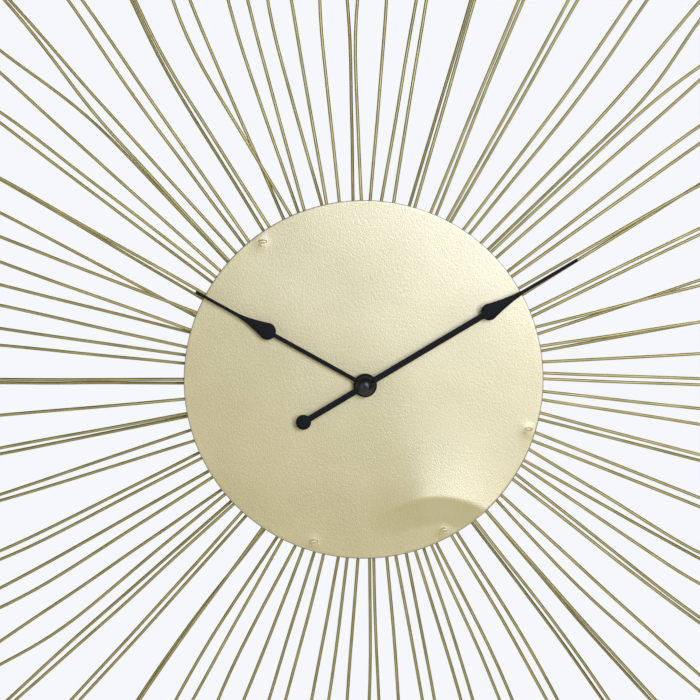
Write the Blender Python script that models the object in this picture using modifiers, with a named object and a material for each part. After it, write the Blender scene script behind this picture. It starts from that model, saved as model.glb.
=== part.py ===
"""Sunburst wall clock: a sheet dial on two hoops of bent petal wires, with a quartz movement behind it.

Metres, +Z up. The dial faces -Y and the wall is the plane y = 0. The origin is the nail that the
clock hangs on, where the top of the keyhole slot bears. Angles round the dial are in degrees,
clockwise from twelve as the clock is read.
"""
import math

import bmesh
import bpy
from mathutils import Vector

MM = 0.001
GAP = 0.3 * MM  # left between pieces that touch

# Dial and hoops
DIAL_RADIUS = 125 * MM
DIAL_FRONT = -26.0 * MM
DIAL_BACK = -25.0 * MM
DIAL_HOLE = 4.4 * MM
HOOP_RADIUS = 119 * MM
HOOP_WIRE = 2.0 * MM  # radius of the hoops' bar
REAR_HOOP_Y = -6.8 * MM
FRONT_HOOP_Y = -18.8 * MM
POST_RADIUS = 1.5 * MM
DIAL_POST_ANGLES = (12, 65, 105, 153.5, 197.8, 235, 273, 323.4)
HOOP_POST_ANGLES = (25.6, 105, 205.0, 294.8)
PAD_ANGLES = (60, 180, 300)
PAD_RADIUS = 6 * MM

# Petal wires: seven loops to each eighth of the circle
WIRE_RADIUS = 1.2 * MM
REAR_LEG_Y = REAR_HOOP_Y - HOOP_WIRE - GAP - WIRE_RADIUS
FRONT_LEG_Y = FRONT_HOOP_Y - HOOP_WIRE - GAP - WIRE_RADIUS
PETALS_PER_WIRE = 7
FOOT_RADIUS = 104 * MM
RIM_RADIUS = 126 * MM
REACH_RADII = [r * MM for r in (205, 250, 250, 175, 175, 250, 265, 225)]  # wire by wire
SHOULDER_RADIUS = 377 * MM
TIP_RISE = 18 * MM
TIP_STEPS = 4
NARROWEST, WIDEST = 2.4, 3.9  # half the angle that a petal's tip spans
BEND_SHARES = (0.3, 0.65)  # places along each leg's bend

# Each petal's two legs, in degrees: where both leave the rim, then where both pass the reach radius.
# The feet are set by eye, so no two spaces are alike. One row holds one wire's seven petals.
PETALS = (
    ((-3.3, -0.8, -2.4, -1.6), (2.2, 9.4, 3.2, 9.3), (5.7, 16.3, 7.3, 16.2), (14.8, 21.6, 15.5, 21.9),
     (23.8, 27.3, 22.9, 28.0), (28.9, 33.3, 29.3, 34.8), (36.0, 40.4, 37.2, 41.7)),
    ((43.8, 44.6, 45.0, 45.7), (47.5, 54.8, 48.3, 54.8), (53.2, 59.2, 52.8, 59.7), (62.0, 67.2, 60.0, 65.6),
     (69.6, 72.7, 66.8, 74.3), (75.5, 79.0, 73.6, 80.2), (81.0, 84.1, 80.4, 85.6)),
    ((88.1, 89.5, 90.1, 90.9), (94.0, 100.5, 95.2, 102.7), (96.6, 107.0, 97.9, 109.4),
     (103.0, 112.8, 103.7, 117.2), (110.2, 118.4, 110.9, 121.3), (117.0, 123.7, 118.2, 125.8),
     (122.0, 130.0, 125.2, 131.2)),
    ((132.3, 136.8, 133.7, 137.4), (137.2, 141.7, 138.0, 141.8), (143.0, 150.6, 143.0, 150.2),
     (148.7, 157.7, 148.4, 157.2), (156.2, 163.3, 155.3, 163.1), (160.5, 169.7, 160.7, 169.6),
     (166.2, 172.7, 166.9, 173.3)),
    ((176.7, 178.2, 177.2, 178.5), (181.7, 185.4, 182.5, 185.8), (188.0, 193.0, 188.7, 193.4),
     (195.8, 199.9, 196.2, 200.2), (202.2, 207.2, 203.8, 207.8), (208.6, 214.5, 209.9, 215.0),
     (213.3, 222.9, 214.7, 222.6)),
    ((220.6, 226.5, 221.2, 227.1), (227.3, 230.7, 228.0, 230.5), (232.0, 237.5, 233.7, 237.4),
     (239.3, 244.5, 239.8, 243.6), (246.0, 250.6, 244.6, 251.7), (253.7, 259.6, 252.5, 259.6),
     (258.2, 264.3, 258.4, 264.6)),
    ((268.9, 270.6, 269.6, 270.3), (275.2, 280.9, 275.5, 281.9), (277.9, 286.5, 278.1, 288.3),
     (285.3, 292.3, 284.7, 291.8), (290.8, 298.8, 294.7, 299.3), (296.7, 305.2, 298.9, 306.6),
     (302.8, 307.6, 305.1, 310.0)),
    ((311.0, 311.8, 313.6, 314.3), (314.9, 320.6, 316.2, 322.8), (318.5, 328.5, 320.7, 328.2),
     (326.2, 336.2, 327.3, 333.0), (333.6, 340.8, 335.0, 342.6), (338.8, 348.1, 339.7, 349.0),
     (346.6, 352.2, 345.6, 353.0)),
)

# Hanger
HANG_RISE = 105 * MM  # the nail above the dial's centre
PLATE_BACK = -3.0 * MM
PLATE_FRONT = REAR_HOOP_Y + HOOP_WIRE + GAP
PLATE_WIDTH = 30 * MM
PLATE_BOTTOM = 84 * MM
PLATE_TOP = 124 * MM
KEYHOLE_Z = 93 * MM
KEYHOLE_RADIUS = 5 * MM
SLOT_RADIUS = 2.2 * MM

# Hands
ARBOR_X = 0.6 * MM  # the arbor's place from the dial's centre
ARBOR_Z = -2.3 * MM
MINUTE_ANGLE = 59.3
HOUR_ANGLE = 299.1
HAND_THICK = 0.8 * MM
HOUR_HAND_Y = -32.0 * MM  # back of each hand
MINUTE_HAND_Y = -34.2 * MM
ARBOR_HOLE = 1.8 * MM
PIPE_HOLE = 2.9 * MM
HOUR_HUB = 8.2 * MM
HOUR_ARM = 1.45 * MM  # arms are half-widths
MINUTE_HUB = 7.4 * MM
MINUTE_ARM = 2.1 * MM
WEIGHT_Z = -49.6 * MM
WEIGHT_RADIUS = 5.25 * MM
# Along each spade: bulb's place and radius, then the neck's and the tip's place and half-width.
HOUR_SPADE = (77 * MM, 5.9 * MM, 101.7 * MM, 1.15 * MM, 133 * MM, 1.0 * MM)
MINUTE_SPADE = (99.4 * MM, 5.8 * MM, 127.5 * MM, 1.25 * MM, 169.6 * MM, 1.05 * MM)
# Half profile of the domed nut: radius and height.
CAP_PROFILE = [(r * MM, h * MM) for r, h in ((0, 4.6), (2.6, 4.3), (4.6, 3.4), (5.8, 2.0), (6.2, 0.9),
                                             (6.2, 0), (0, 0))]

# Movement, measured from the arbor
CASE_HALF = 28 * MM
CASE_TOP = 22 * MM
CASE_BOTTOM = -34 * MM
CASE_FRONT = -23.4 * MM
CASE_BACK = -7.4 * MM
CASE_WALL = 1.6 * MM
SHELF_TOP = -15.0 * MM
SHELF_BOTTOM = -16.6 * MM
TRAIN_MODULE = 0.4 * MM
HOUR_MODULE = 0.384 * MM
CANNON_TEETH = 12
MOTION_TEETH = 36
MOTION_PINION_TEETH = 10
HOUR_TEETH = 40
CENTRE_TEETH = 60
THIRD_TEETH = 8
MOTION_X = -TRAIN_MODULE * (CANNON_TEETH + MOTION_TEETH) / 2
KNOB_X = 2 * MOTION_X
THIRD_X = 10.2 * MM
THIRD_Z = 9.0 * MM
BATTERY_RADIUS = 7.0 * MM
BATTERY_HALF = 25.0 * MM
BATTERY_Y = -14.4 * MM
BATTERY_Z = -24.8 * MM
CONTACT_THICK = 0.5 * MM
CONTACT_HALF_DEPTH = 5 * MM
CONTACT_HALF_HEIGHT = 4 * MM
COVER_THICK = 1.2 * MM
STEM_HOLE = 2.2 * MM
BUSHING_RADIUS = 3.9 * MM
BUSHING_TIP = -30.6 * MM
WASHER_HOLE = 4.2 * MM
GASKET_RADIUS = 11 * MM
WASHER_RADIUS = 7.5 * MM
WASHER_THICK = 0.7 * MM
NUT_RADIUS = 6.6 * MM
NUT_THICK = 2.4 * MM
ARBOR_RADIUS = 1.5 * MM
ARBOR_BACK = -9 * MM
PIPE_RADIUS = 2.6 * MM
STEM_RADIUS = 1.0 * MM
STEM_BORE = 1.3 * MM
KNOB_RADIUS = 6.0 * MM
POST_PIN = 0.6 * MM
PIN_BORE = 0.9 * MM
# Back and front faces of each turning piece.
CENTRE_WHEEL = (-14.7 * MM, -15.9 * MM)
CANNON_PINION = (-17.3 * MM, -19.0 * MM)
MOTION_WHEEL = (-17.5 * MM, -18.8 * MM)
MOTION_PINION = (-19.1 * MM, -21.2 * MM)
MOTION_POST = (-21.5 * MM, -16.4 * MM)
HOUR_WHEEL = (-19.5 * MM, -20.9 * MM)
THIRD_PINION = (-13.6 * MM, -16.4 * MM)
KNOB = (-3.4 * MM, -5.6 * MM)
# Low and high corners of the still works.
MOTOR_UNIT = ((3 * MM, -13.3 * MM, -13.5 * MM), (25.5 * MM, -8 * MM, 19 * MM))
BOARD = ((-25.5 * MM, -12.2 * MM, 7 * MM), (-3 * MM, -11.2 * MM, 20 * MM))
COIL_RADIUS = 1.6 * MM
COIL_ENDS = ((-22 * MM, -9.2 * MM, 15 * MM), (-7 * MM, -9.2 * MM, 15 * MM))
CRYSTAL_RADIUS = 1.0 * MM
CRYSTAL_ENDS = ((-14 * MM, -9.8 * MM, 9.5 * MM), (-6 * MM, -9.8 * MM, 9.5 * MM))


def clear_scene():
    for old in list(bpy.data.objects):
        bpy.data.objects.remove(old, do_unlink=True)


def make_material(name, color, roughness, metallic=0.0):
    material = bpy.data.materials.new(name)
    material.use_nodes = True
    shader = material.node_tree.nodes["Principled BSDF"]
    shader.inputs["Base Color"].default_value = (*color, 1.0)
    shader.inputs["Roughness"].default_value = roughness
    shader.inputs["Metallic"].default_value = metallic
    return material


def place(obj, parent, material, collection=None):
    """Files an object under its parent empty, with its material, in the clock's collection."""
    (collection or CLOCK).objects.link(obj)
    obj.parent = parent
    obj.data.materials.append(material)
    return obj


def around(radius, degrees):
    """A point on a circle, as x and z, clockwise from twelve."""
    angle = math.radians(degrees)
    return radius * math.sin(angle), radius * math.cos(angle)


def circle(radius, sides, x=0.0, z=0.0):
    """Corners of a round outline."""
    return [(x + radius * math.sin(2 * math.pi * i / sides), z + radius * math.cos(2 * math.pi * i / sides))
            for i in range(sides)]


def flat_piece(name, outlines, back, front, material, parent, x=0.0, z=0.0, turn=0.0):
    """A sheet or block cut to an outline in XZ, with holes as further outlines, from y = back to front."""
    curve = bpy.data.curves.new(name, "CURVE")
    curve.dimensions = "2D"
    curve.fill_mode = "BOTH"
    curve.extrude = (back - front) / 2
    for outline in outlines:
        spline = curve.splines.new("POLY")
        spline.points.add(len(outline) - 1)
        for point, (px, pz) in zip(spline.points, outline):
            point.co = (px, pz, 0.0, 1.0)
        spline.use_cyclic_u = True
    obj = place(bpy.data.objects.new(name, curve), parent, material)
    obj.location = (x, (back + front) / 2, z)
    obj.rotation_euler = (math.pi / 2, math.radians(turn), 0.0)
    return obj


def ring(name, outer, inner, back, front, material, parent, sides=32, x=0.0, z=0.0):
    """A washer, pipe or drilled disc."""
    return flat_piece(name, [circle(outer, sides), circle(inner, sides)], back, front, material, parent, x, z)


def rod(name, radius, start, end, material, parent, sides=16, collection=None):
    """A straight round bar between two points."""
    direction = [b - a for a, b in zip(start, end)]
    length = math.sqrt(sum(d * d for d in direction))
    mesh = bpy.data.meshes.new(name)
    body = bmesh.new()
    bmesh.ops.create_cone(body, cap_ends=True, segments=sides, radius1=radius, radius2=radius, depth=length)
    body.to_mesh(mesh)
    body.free()
    mesh.shade_smooth()
    mesh.set_sharp_from_angle(angle=math.radians(40))
    obj = place(bpy.data.objects.new(name, mesh), parent, material, collection)
    obj.location = [(a + b) / 2 for a, b in zip(start, end)]
    along_y = abs(direction[1]) > abs(direction[0]) + abs(direction[2])
    obj.rotation_euler = (math.pi / 2, 0.0, 0.0) if along_y else (0.0, math.pi / 2, 0.0)
    return obj


def block(name, low, high, material, parent, collection=None):
    """A rectangular block from its low corner to its high one."""
    mesh = bpy.data.meshes.new(name)
    body = bmesh.new()
    bmesh.ops.create_cube(body, size=1.0)
    bmesh.ops.scale(body, verts=body.verts, vec=[h - l for l, h in zip(low, high)])
    body.to_mesh(mesh)
    body.free()
    obj = place(bpy.data.objects.new(name, mesh), parent, material, collection)
    obj.location = [(l + h) / 2 for l, h in zip(low, high)]
    return obj


def cut(target, cutter):
    """Cuts one block from another, and keeps the cutter as a guide."""
    cutter.hide_render = True
    cutter.display_type = "WIRE"
    modifier = target.modifiers.new(cutter.name, "BOOLEAN")
    modifier.operation = "DIFFERENCE"
    modifier.object = cutter


def wire(name, points, radius, material, parent, closed=False):
    """A round bar bent along points."""
    curve = bpy.data.curves.new(name, "CURVE")
    curve.dimensions = "3D"
    curve.bevel_depth = radius
    curve.bevel_resolution = 1
    curve.use_fill_caps = True
    spline = curve.splines.new("POLY")
    spline.points.add(len(points) - 1)
    for point, place_at in zip(spline.points, points):
        point.co = (*place_at, 1.0)
    spline.use_cyclic_u = closed
    return place(bpy.data.objects.new(name, curve), parent, material)


def gear_outline(teeth, module, phase=0.0):
    """Root and tip corners of a spur gear with clearance at both flanks, phase in teeth."""
    outline = []
    tip = module * (teeth / 2 + 0.75)
    root = module * (teeth / 2 - 1.0)
    for tooth in range(teeth):
        for share, radius in ((-0.27, root), (-0.11, tip), (0.11, tip), (0.27, root)):
            angle = 2 * math.pi * (tooth + phase + share) / teeth
            outline.append((radius * math.sin(angle), radius * math.cos(angle)))
    return outline


def spot(radius, degrees):
    """A flat vector to a point on a circle."""
    return Vector(around(radius, degrees))


def leg_path(foot, reach, shoulder, reach_radius):
    """One leg on the flat: straight from its foot to the reach radius, then one easy bend to the shoulder."""
    start = spot(RIM_RADIUS, foot)
    through = spot(reach_radius, reach)
    top = spot(SHOULDER_RADIUS, shoulder)
    straight = (through - start).normalized()
    pull = (top - through).length * 0.45
    bend_out = through + straight * pull
    bend_home = top - top.normalized() * pull
    path = [start - straight * (RIM_RADIUS - FOOT_RADIUS), through]
    for t in BEND_SHARES:
        path.append(through * (1 - t) ** 3 + bend_out * 3 * t * (1 - t) ** 2
                    + bend_home * 3 * t * t * (1 - t) + top * t**3)
    return path


def petal_path(number, petal):
    """One loop: out along the rear leg, round the tip, and back along the front leg."""
    foot_a, foot_b, reach_a, reach_b = petal
    even = 360 * number / (len(PETALS) * PETALS_PER_WIRE)
    middle = (even + (reach_a + reach_b) / 2) / 2
    half = min(max((reach_b - reach_a) / 2, NARROWEST), WIDEST)
    reach_radius = REACH_RADII[number // PETALS_PER_WIRE]
    out_leg = leg_path(foot_a, reach_a, middle - half, reach_radius)
    home_leg = leg_path(foot_b, reach_b, middle + half, reach_radius)
    path = [(x, REAR_LEG_Y, z) for x, z in out_leg]
    for step in range(TIP_STEPS + 1):
        turn = math.pi * step / TIP_STEPS
        flat = spot(SHOULDER_RADIUS + TIP_RISE * math.sin(turn), middle - half * math.cos(turn))
        path.append((flat.x, REAR_LEG_Y + (FRONT_LEG_Y - REAR_LEG_Y) * step / TIP_STEPS, flat.y))
    return path + [(x, FRONT_LEG_Y, z) for x, z in reversed(home_leg)]


def build_wirework(centre, gold):
    for row, petals in enumerate(PETALS):
        path = []
        for index, petal in enumerate(petals):
            path += petal_path(row * PETALS_PER_WIRE + index, petal)
        wire(f"petal_wire_{row + 1}", path, WIRE_RADIUS, gold, centre)
    for name, y in (("rear_hoop", REAR_HOOP_Y), ("front_hoop", FRONT_HOOP_Y)):
        points = [(px, y, pz) for px, pz in circle(HOOP_RADIUS, 64)]
        wire(name, points, HOOP_WIRE, gold, centre, closed=True)
    for number, angle in enumerate(HOOP_POST_ANGLES, start=1):
        x, z = around(HOOP_RADIUS, angle)
        start = (x, REAR_HOOP_Y - HOOP_WIRE - GAP, z)
        end = (x, FRONT_HOOP_Y + HOOP_WIRE + GAP, z)
        rod(f"hoop_post_{number}", POST_RADIUS, start, end, gold, centre, sides=12)
    for number, angle in enumerate(DIAL_POST_ANGLES, start=1):
        x, z = around(HOOP_RADIUS, angle)
        start = (x, FRONT_HOOP_Y - HOOP_WIRE - GAP, z)
        end = (x, DIAL_BACK + GAP, z)
        rod(f"dial_post_{number}", POST_RADIUS, start, end, gold, centre, sides=12)


def build_dial(centre, gold):
    outlines = [circle(DIAL_RADIUS, 96), circle(DIAL_HOLE, 24, ARBOR_X, ARBOR_Z)]
    flat_piece("dial_disc", outlines, DIAL_BACK, DIAL_FRONT, gold, centre)


def build_wall_side(centre, gold, rubber):
    """Keyhole plate welded behind the rear hoop, and rubber pads that keep the clock off the wall."""
    slot = [(-SLOT_RADIUS, math.sqrt(KEYHOLE_RADIUS**2 - SLOT_RADIUS**2))]
    rise = HANG_RISE - KEYHOLE_Z
    for step in range(9):
        angle = math.pi * step / 8
        slot.append((-SLOT_RADIUS * math.cos(angle), rise - SLOT_RADIUS + SLOT_RADIUS * math.sin(angle)))
    start = math.asin(SLOT_RADIUS / KEYHOLE_RADIUS)
    for step in range(17):
        angle = start + (2 * math.pi - 2 * start) * step / 16
        slot.append((KEYHOLE_RADIUS * math.sin(angle), KEYHOLE_RADIUS * math.cos(angle)))
    keyhole = [(x, z + KEYHOLE_Z) for x, z in slot[1:-1]]
    half = PLATE_WIDTH / 2
    edge = [(-half, PLATE_BOTTOM), (half, PLATE_BOTTOM), (half, PLATE_TOP), (-half, PLATE_TOP)]
    flat_piece("hanger_plate", [edge, keyhole], PLATE_BACK, PLATE_FRONT, gold, centre)
    for number, angle in enumerate(PAD_ANGLES, start=1):
        x, z = around(HOOP_RADIUS, angle)
        start = (x, REAR_HOOP_Y + HOOP_WIRE + GAP, z)
        rod(f"wall_pad_{number}", PAD_RADIUS, start, (x, 0.0, z), rubber, centre)


def arc(centre_z, radius, start, end, steps):
    """Half-outline points on a circle, as half-width and height, from one angle to the other."""
    return [(radius * math.cos(math.radians(start + (end - start) * i / steps)),
             centre_z + radius * math.sin(math.radians(start + (end - start) * i / steps)))
            for i in range(steps + 1)]


def meet(half_width, radius):
    """Angle at which a round boss of that radius meets an arm of that half-width."""
    return math.degrees(math.acos(half_width / radius))


def spade(arm, bulb_at, bulb, neck_at, neck, tip_at, tip):
    """Half-outline of an arm that swells into a spade and thins to a long squared tip."""
    points = arc(bulb_at, bulb, -meet(arm, bulb), 25, 6)
    shoulder_width, shoulder_at = points[-1]
    for share in (0.25, 0.5, 0.75, 1.0):
        thin = (1 - share) ** 1.6
        points.append((neck + (shoulder_width - neck) * thin, shoulder_at + (neck_at - shoulder_at) * share))
    return points + [(tip, tip_at)]


def build_hands(arbor, black):
    right = arc(0, HOUR_HUB, -90, meet(HOUR_ARM, HOUR_HUB), 9)
    right += spade(HOUR_ARM, *HOUR_SPADE)
    outline = right + [(-w, h) for w, h in reversed(right[1:])]
    flat_piece("hour_hand", [outline, circle(PIPE_HOLE, 16)], HOUR_HAND_Y, HOUR_HAND_Y - HAND_THICK,
               black, arbor, turn=HOUR_ANGLE)

    right = arc(WEIGHT_Z, WEIGHT_RADIUS, -90, meet(MINUTE_ARM, WEIGHT_RADIUS), 6)
    right += arc(0, MINUTE_HUB, -meet(MINUTE_ARM, MINUTE_HUB), meet(MINUTE_ARM, MINUTE_HUB), 6)
    right += spade(MINUTE_ARM, *MINUTE_SPADE)
    outline = right + [(-w, h) for w, h in reversed(right[1:])]
    flat_piece("minute_hand", [outline, circle(ARBOR_HOLE, 16)], MINUTE_HAND_Y, MINUTE_HAND_Y - HAND_THICK,
               black, arbor, turn=MINUTE_ANGLE)


def build_cap(arbor, black):
    """Domed nut that holds the minute hand, turned from a half profile."""
    mesh = bpy.data.meshes.new("hand_cap")
    body = bmesh.new()
    corners = [body.verts.new((r, 0.0, height)) for r, height in CAP_PROFILE]
    for a, b in zip(corners, corners[1:]):
        body.edges.new((a, b))
    body.to_mesh(mesh)
    body.free()
    obj = place(bpy.data.objects.new("hand_cap", mesh), arbor, black)
    obj.location = (0.0, MINUTE_HAND_Y - HAND_THICK - 2 * GAP, 0.0)
    obj.rotation_euler = (math.pi / 2, 0.0, 0.0)
    screw = obj.modifiers.new("turned", "SCREW")
    screw.steps = 24
    screw.render_steps = 24
    screw.use_merge_vertices = True
    screw.merge_threshold = 0.00001


def build_case(arbor, plastic, brass, rubber, guides):
    """Moulded case with a shelf between its two rooms, its cover, and what clamps it to the dial."""
    case = block("movement_case", (-CASE_HALF, CASE_FRONT, CASE_BOTTOM), (CASE_HALF, CASE_BACK, CASE_TOP),
                 plastic, arbor)
    inside = CASE_HALF - CASE_WALL
    floor = CASE_FRONT + CASE_WALL
    past = CASE_BACK + CASE_WALL
    cut(case, block("cut_train_room", (-inside, floor, SHELF_TOP), (inside, past, CASE_TOP - CASE_WALL),
                    plastic, arbor, guides))
    cut(case, block("cut_battery_room", (-inside, floor, CASE_BOTTOM + CASE_WALL),
                    (inside, past, SHELF_BOTTOM), plastic, arbor, guides))
    cut(case, rod("cut_pipe_way", BUSHING_RADIUS - 2 * GAP, (0, CASE_FRONT - CASE_WALL, 0),
                  (0, floor + CASE_WALL, 0), plastic, arbor, collection=guides))

    edge = [(-CASE_HALF, SHELF_BOTTOM), (CASE_HALF, SHELF_BOTTOM), (CASE_HALF, CASE_TOP),
            (-CASE_HALF, CASE_TOP)]
    flat_piece("back_cover", [edge, circle(STEM_HOLE, 16, KNOB_X)], CASE_BACK + GAP + COVER_THICK,
               CASE_BACK + GAP, plastic, arbor)
    case_face = CASE_FRONT - GAP
    ring("threaded_bushing", BUSHING_RADIUS, PIPE_HOLE, case_face, BUSHING_TIP, brass, arbor, 24)
    ring("rubber_gasket", GASKET_RADIUS, WASHER_HOLE, case_face, DIAL_BACK + GAP, rubber, arbor, 24)
    washer_back = DIAL_FRONT - GAP
    ring("dial_washer", WASHER_RADIUS, WASHER_HOLE, washer_back, washer_back - WASHER_THICK, brass, arbor, 24)
    nut_back = washer_back - WASHER_THICK - GAP
    flat_piece("bushing_nut", [circle(NUT_RADIUS, 6), circle(WASHER_HOLE, 24)], nut_back,
               nut_back - NUT_THICK, brass, arbor)


def build_train(arbor, steel, nylon, plastic):
    """Motion work: arbor, cannon pinion, motion wheel and hour wheel, with the setting knob beside them."""
    rod("minute_arbor", ARBOR_RADIUS, (0, ARBOR_BACK, 0), (0, MINUTE_HAND_Y - HAND_THICK, 0), steel, arbor)
    flat_piece("centre_wheel", [gear_outline(CENTRE_TEETH, TRAIN_MODULE), circle(ARBOR_HOLE, 16)],
               *CENTRE_WHEEL, nylon, arbor)
    # A gear at +X of its neighbour meets it with a space where the neighbour has a tooth.
    quarter_turn = CANNON_TEETH / 4
    half_tooth = 0.5
    cannon = gear_outline(CANNON_TEETH, TRAIN_MODULE, quarter_turn)
    flat_piece("cannon_pinion", [cannon, circle(ARBOR_HOLE, 12)], *CANNON_PINION, steel, arbor)
    flat_piece("motion_wheel", [gear_outline(MOTION_TEETH, TRAIN_MODULE, half_tooth), circle(PIN_BORE, 12)],
               *MOTION_WHEEL, nylon, arbor, x=MOTION_X)
    flat_piece("motion_pinion", [gear_outline(MOTION_PINION_TEETH, HOUR_MODULE), circle(PIN_BORE, 12)],
               *MOTION_PINION, nylon, arbor, x=MOTION_X)
    flat_piece("hour_wheel", [gear_outline(HOUR_TEETH, HOUR_MODULE), circle(PIPE_HOLE, 24)],
               *HOUR_WHEEL, nylon, arbor)
    ring("hour_pipe", PIPE_RADIUS, ARBOR_HOLE, HOUR_WHEEL[0], HOUR_HAND_Y - HAND_THICK, nylon, arbor, 24)
    flat_piece("setting_pinion", [gear_outline(CANNON_TEETH, TRAIN_MODULE), circle(STEM_BORE, 12)],
               *CANNON_PINION, nylon, arbor, x=KNOB_X)
    rod("setting_stem", STEM_RADIUS, (KNOB_X, CANNON_PINION[1], 0), (KNOB_X, KNOB[1], 0), steel, arbor, 12)
    ring("setting_knob", KNOB_RADIUS, STEM_BORE, *KNOB, plastic, arbor, 24, x=KNOB_X)
    post_back, post_front = MOTION_POST
    rod("motion_post", POST_PIN, (MOTION_X, post_back, 0), (MOTION_X, post_front, 0), steel, arbor, 8)


def build_works(arbor, steel, brass, plastic, copper, green, label):
    """Motor unit with its last pinion, coil, circuit board, crystal, battery and contacts."""
    lean = math.degrees(math.atan2(THIRD_X, THIRD_Z))
    facing = THIRD_TEETH * (lean + 180) / 360
    passed = CENTRE_TEETH * lean / 360
    phase = facing + passed + 0.5
    flat_piece("third_pinion", [gear_outline(THIRD_TEETH, TRAIN_MODULE, phase)], *THIRD_PINION,
               brass, arbor, x=THIRD_X, z=THIRD_Z)
    block("motor_unit", *MOTOR_UNIT, plastic, arbor)
    block("circuit_board", *BOARD, green, arbor)
    rod("drive_coil", COIL_RADIUS, *COIL_ENDS, copper, arbor)
    rod("quartz_crystal", CRYSTAL_RADIUS, *CRYSTAL_ENDS, steel, arbor, 12)
    battery_ends = [(side * BATTERY_HALF, BATTERY_Y, BATTERY_Z) for side in (-1, 1)]
    rod("battery", BATTERY_RADIUS, *battery_ends, label, arbor, 24)
    near = BATTERY_HALF + GAP
    far = near + CONTACT_THICK
    for name, left, right in (("contact_left", -far, -near), ("contact_right", near, far)):
        block(name, (left, BATTERY_Y - CONTACT_HALF_DEPTH, BATTERY_Z - CONTACT_HALF_HEIGHT),
              (right, BATTERY_Y + CONTACT_HALF_DEPTH, BATTERY_Z + CONTACT_HALF_HEIGHT), steel, arbor)


clear_scene()
CLOCK = bpy.data.collections.new("sunburst_wall_clock")
GUIDES = bpy.data.collections.new("cutters")
bpy.context.scene.collection.children.link(CLOCK)
bpy.context.scene.collection.children.link(GUIDES)
CENTRE = bpy.data.objects.new("dial_centre", None)
CENTRE.location = (0.0, 0.0, -HANG_RISE)
CLOCK.objects.link(CENTRE)
ARBOR = bpy.data.objects.new("arbor_line", None)
ARBOR.location = (ARBOR_X, 0.0, ARBOR_Z)
ARBOR.parent = CENTRE
CLOCK.objects.link(ARBOR)

GOLD = make_material("champagne_paint", (0.62, 0.56, 0.38), 0.38, 0.6)
BLACK = make_material("black_paint", (0.012, 0.012, 0.013), 0.42)
PLASTIC = make_material("black_plastic", (0.02, 0.02, 0.022), 0.5)
RUBBER = make_material("black_rubber", (0.03, 0.03, 0.03), 0.85)
BRASS = make_material("brass", (0.78, 0.58, 0.25), 0.3, 1.0)
STEEL = make_material("steel", (0.6, 0.6, 0.6), 0.3, 1.0)
NYLON = make_material("white_nylon", (0.85, 0.84, 0.8), 0.5)
COPPER = make_material("copper_winding", (0.7, 0.28, 0.12), 0.4, 1.0)
GREEN = make_material("board_green", (0.02, 0.18, 0.07), 0.45)
LABEL = make_material("battery_sleeve", (0.12, 0.13, 0.15), 0.35)

build_wirework(CENTRE, GOLD)
build_dial(CENTRE, GOLD)
build_wall_side(CENTRE, GOLD, RUBBER)
build_hands(ARBOR, BLACK)
build_cap(ARBOR, BLACK)
build_case(ARBOR, PLASTIC, BRASS, RUBBER, GUIDES)
build_train(ARBOR, STEEL, NYLON, PLASTIC)
build_works(ARBOR, STEEL, BRASS, PLASTIC, COPPER, GREEN, LABEL)
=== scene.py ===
"""Sunburst wall clock: looks and fine meshes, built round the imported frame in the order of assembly.

Metres, +Z up. The dial faces -Y, and the wall is the plane y = 0. Angles round the dial are in degrees,
clockwise from twelve as the clock is read.
"""
import math

import bmesh
import bpy
from mathutils import Euler, Matrix, Vector, noise


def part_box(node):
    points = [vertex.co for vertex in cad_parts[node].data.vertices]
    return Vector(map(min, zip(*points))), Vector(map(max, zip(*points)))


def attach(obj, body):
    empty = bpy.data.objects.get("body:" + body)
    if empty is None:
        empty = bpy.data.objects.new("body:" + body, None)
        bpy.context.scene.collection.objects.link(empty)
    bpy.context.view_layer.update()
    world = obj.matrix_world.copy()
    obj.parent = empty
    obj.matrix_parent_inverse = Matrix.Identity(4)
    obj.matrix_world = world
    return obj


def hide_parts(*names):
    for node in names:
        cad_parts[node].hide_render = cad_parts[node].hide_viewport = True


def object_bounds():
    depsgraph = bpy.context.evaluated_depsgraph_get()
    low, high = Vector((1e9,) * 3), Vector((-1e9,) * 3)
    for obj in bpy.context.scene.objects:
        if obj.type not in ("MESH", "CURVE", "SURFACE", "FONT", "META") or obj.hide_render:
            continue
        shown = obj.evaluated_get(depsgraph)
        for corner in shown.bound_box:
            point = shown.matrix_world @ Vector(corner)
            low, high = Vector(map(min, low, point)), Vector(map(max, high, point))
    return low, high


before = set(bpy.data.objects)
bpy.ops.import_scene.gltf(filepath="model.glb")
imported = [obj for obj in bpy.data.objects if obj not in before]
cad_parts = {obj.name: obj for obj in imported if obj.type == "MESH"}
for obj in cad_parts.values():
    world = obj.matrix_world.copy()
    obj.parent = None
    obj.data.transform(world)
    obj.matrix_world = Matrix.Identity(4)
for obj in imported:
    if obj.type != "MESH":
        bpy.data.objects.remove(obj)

cad_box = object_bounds()
MM = 0.001

# ------------------------------------------------------------
# Hoops and posts: two rings of 4 mm mild steel rod, bent round a former, butt-welded, held apart
# by short posts, and sprayed champagne with the rest of the wirework. They hide behind the dial.


def hex_color(code):
    """sRGB hex to the linear values that a shader works in."""
    channels = [int(code[i:i + 2], 16) / 255 for i in (1, 3, 5)]
    return [c / 12.92 if c <= 0.04045 else ((c + 0.055) / 1.055) ** 2.4 for c in channels] + [1.0]


def add_node(tree, kind, links=None, **settings):
    """Adds a shader node. A setting named after an input sets it, and links maps inputs to sockets."""
    node = tree.nodes.new(kind)
    for name, value in settings.items():
        if hasattr(node, name):
            setattr(node, name, value)
        else:
            node.inputs[name.replace("_", " ")].default_value = value
    for name, socket in (links or {}).items():
        tree.links.new(socket, node.inputs[name])
    return node


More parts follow.
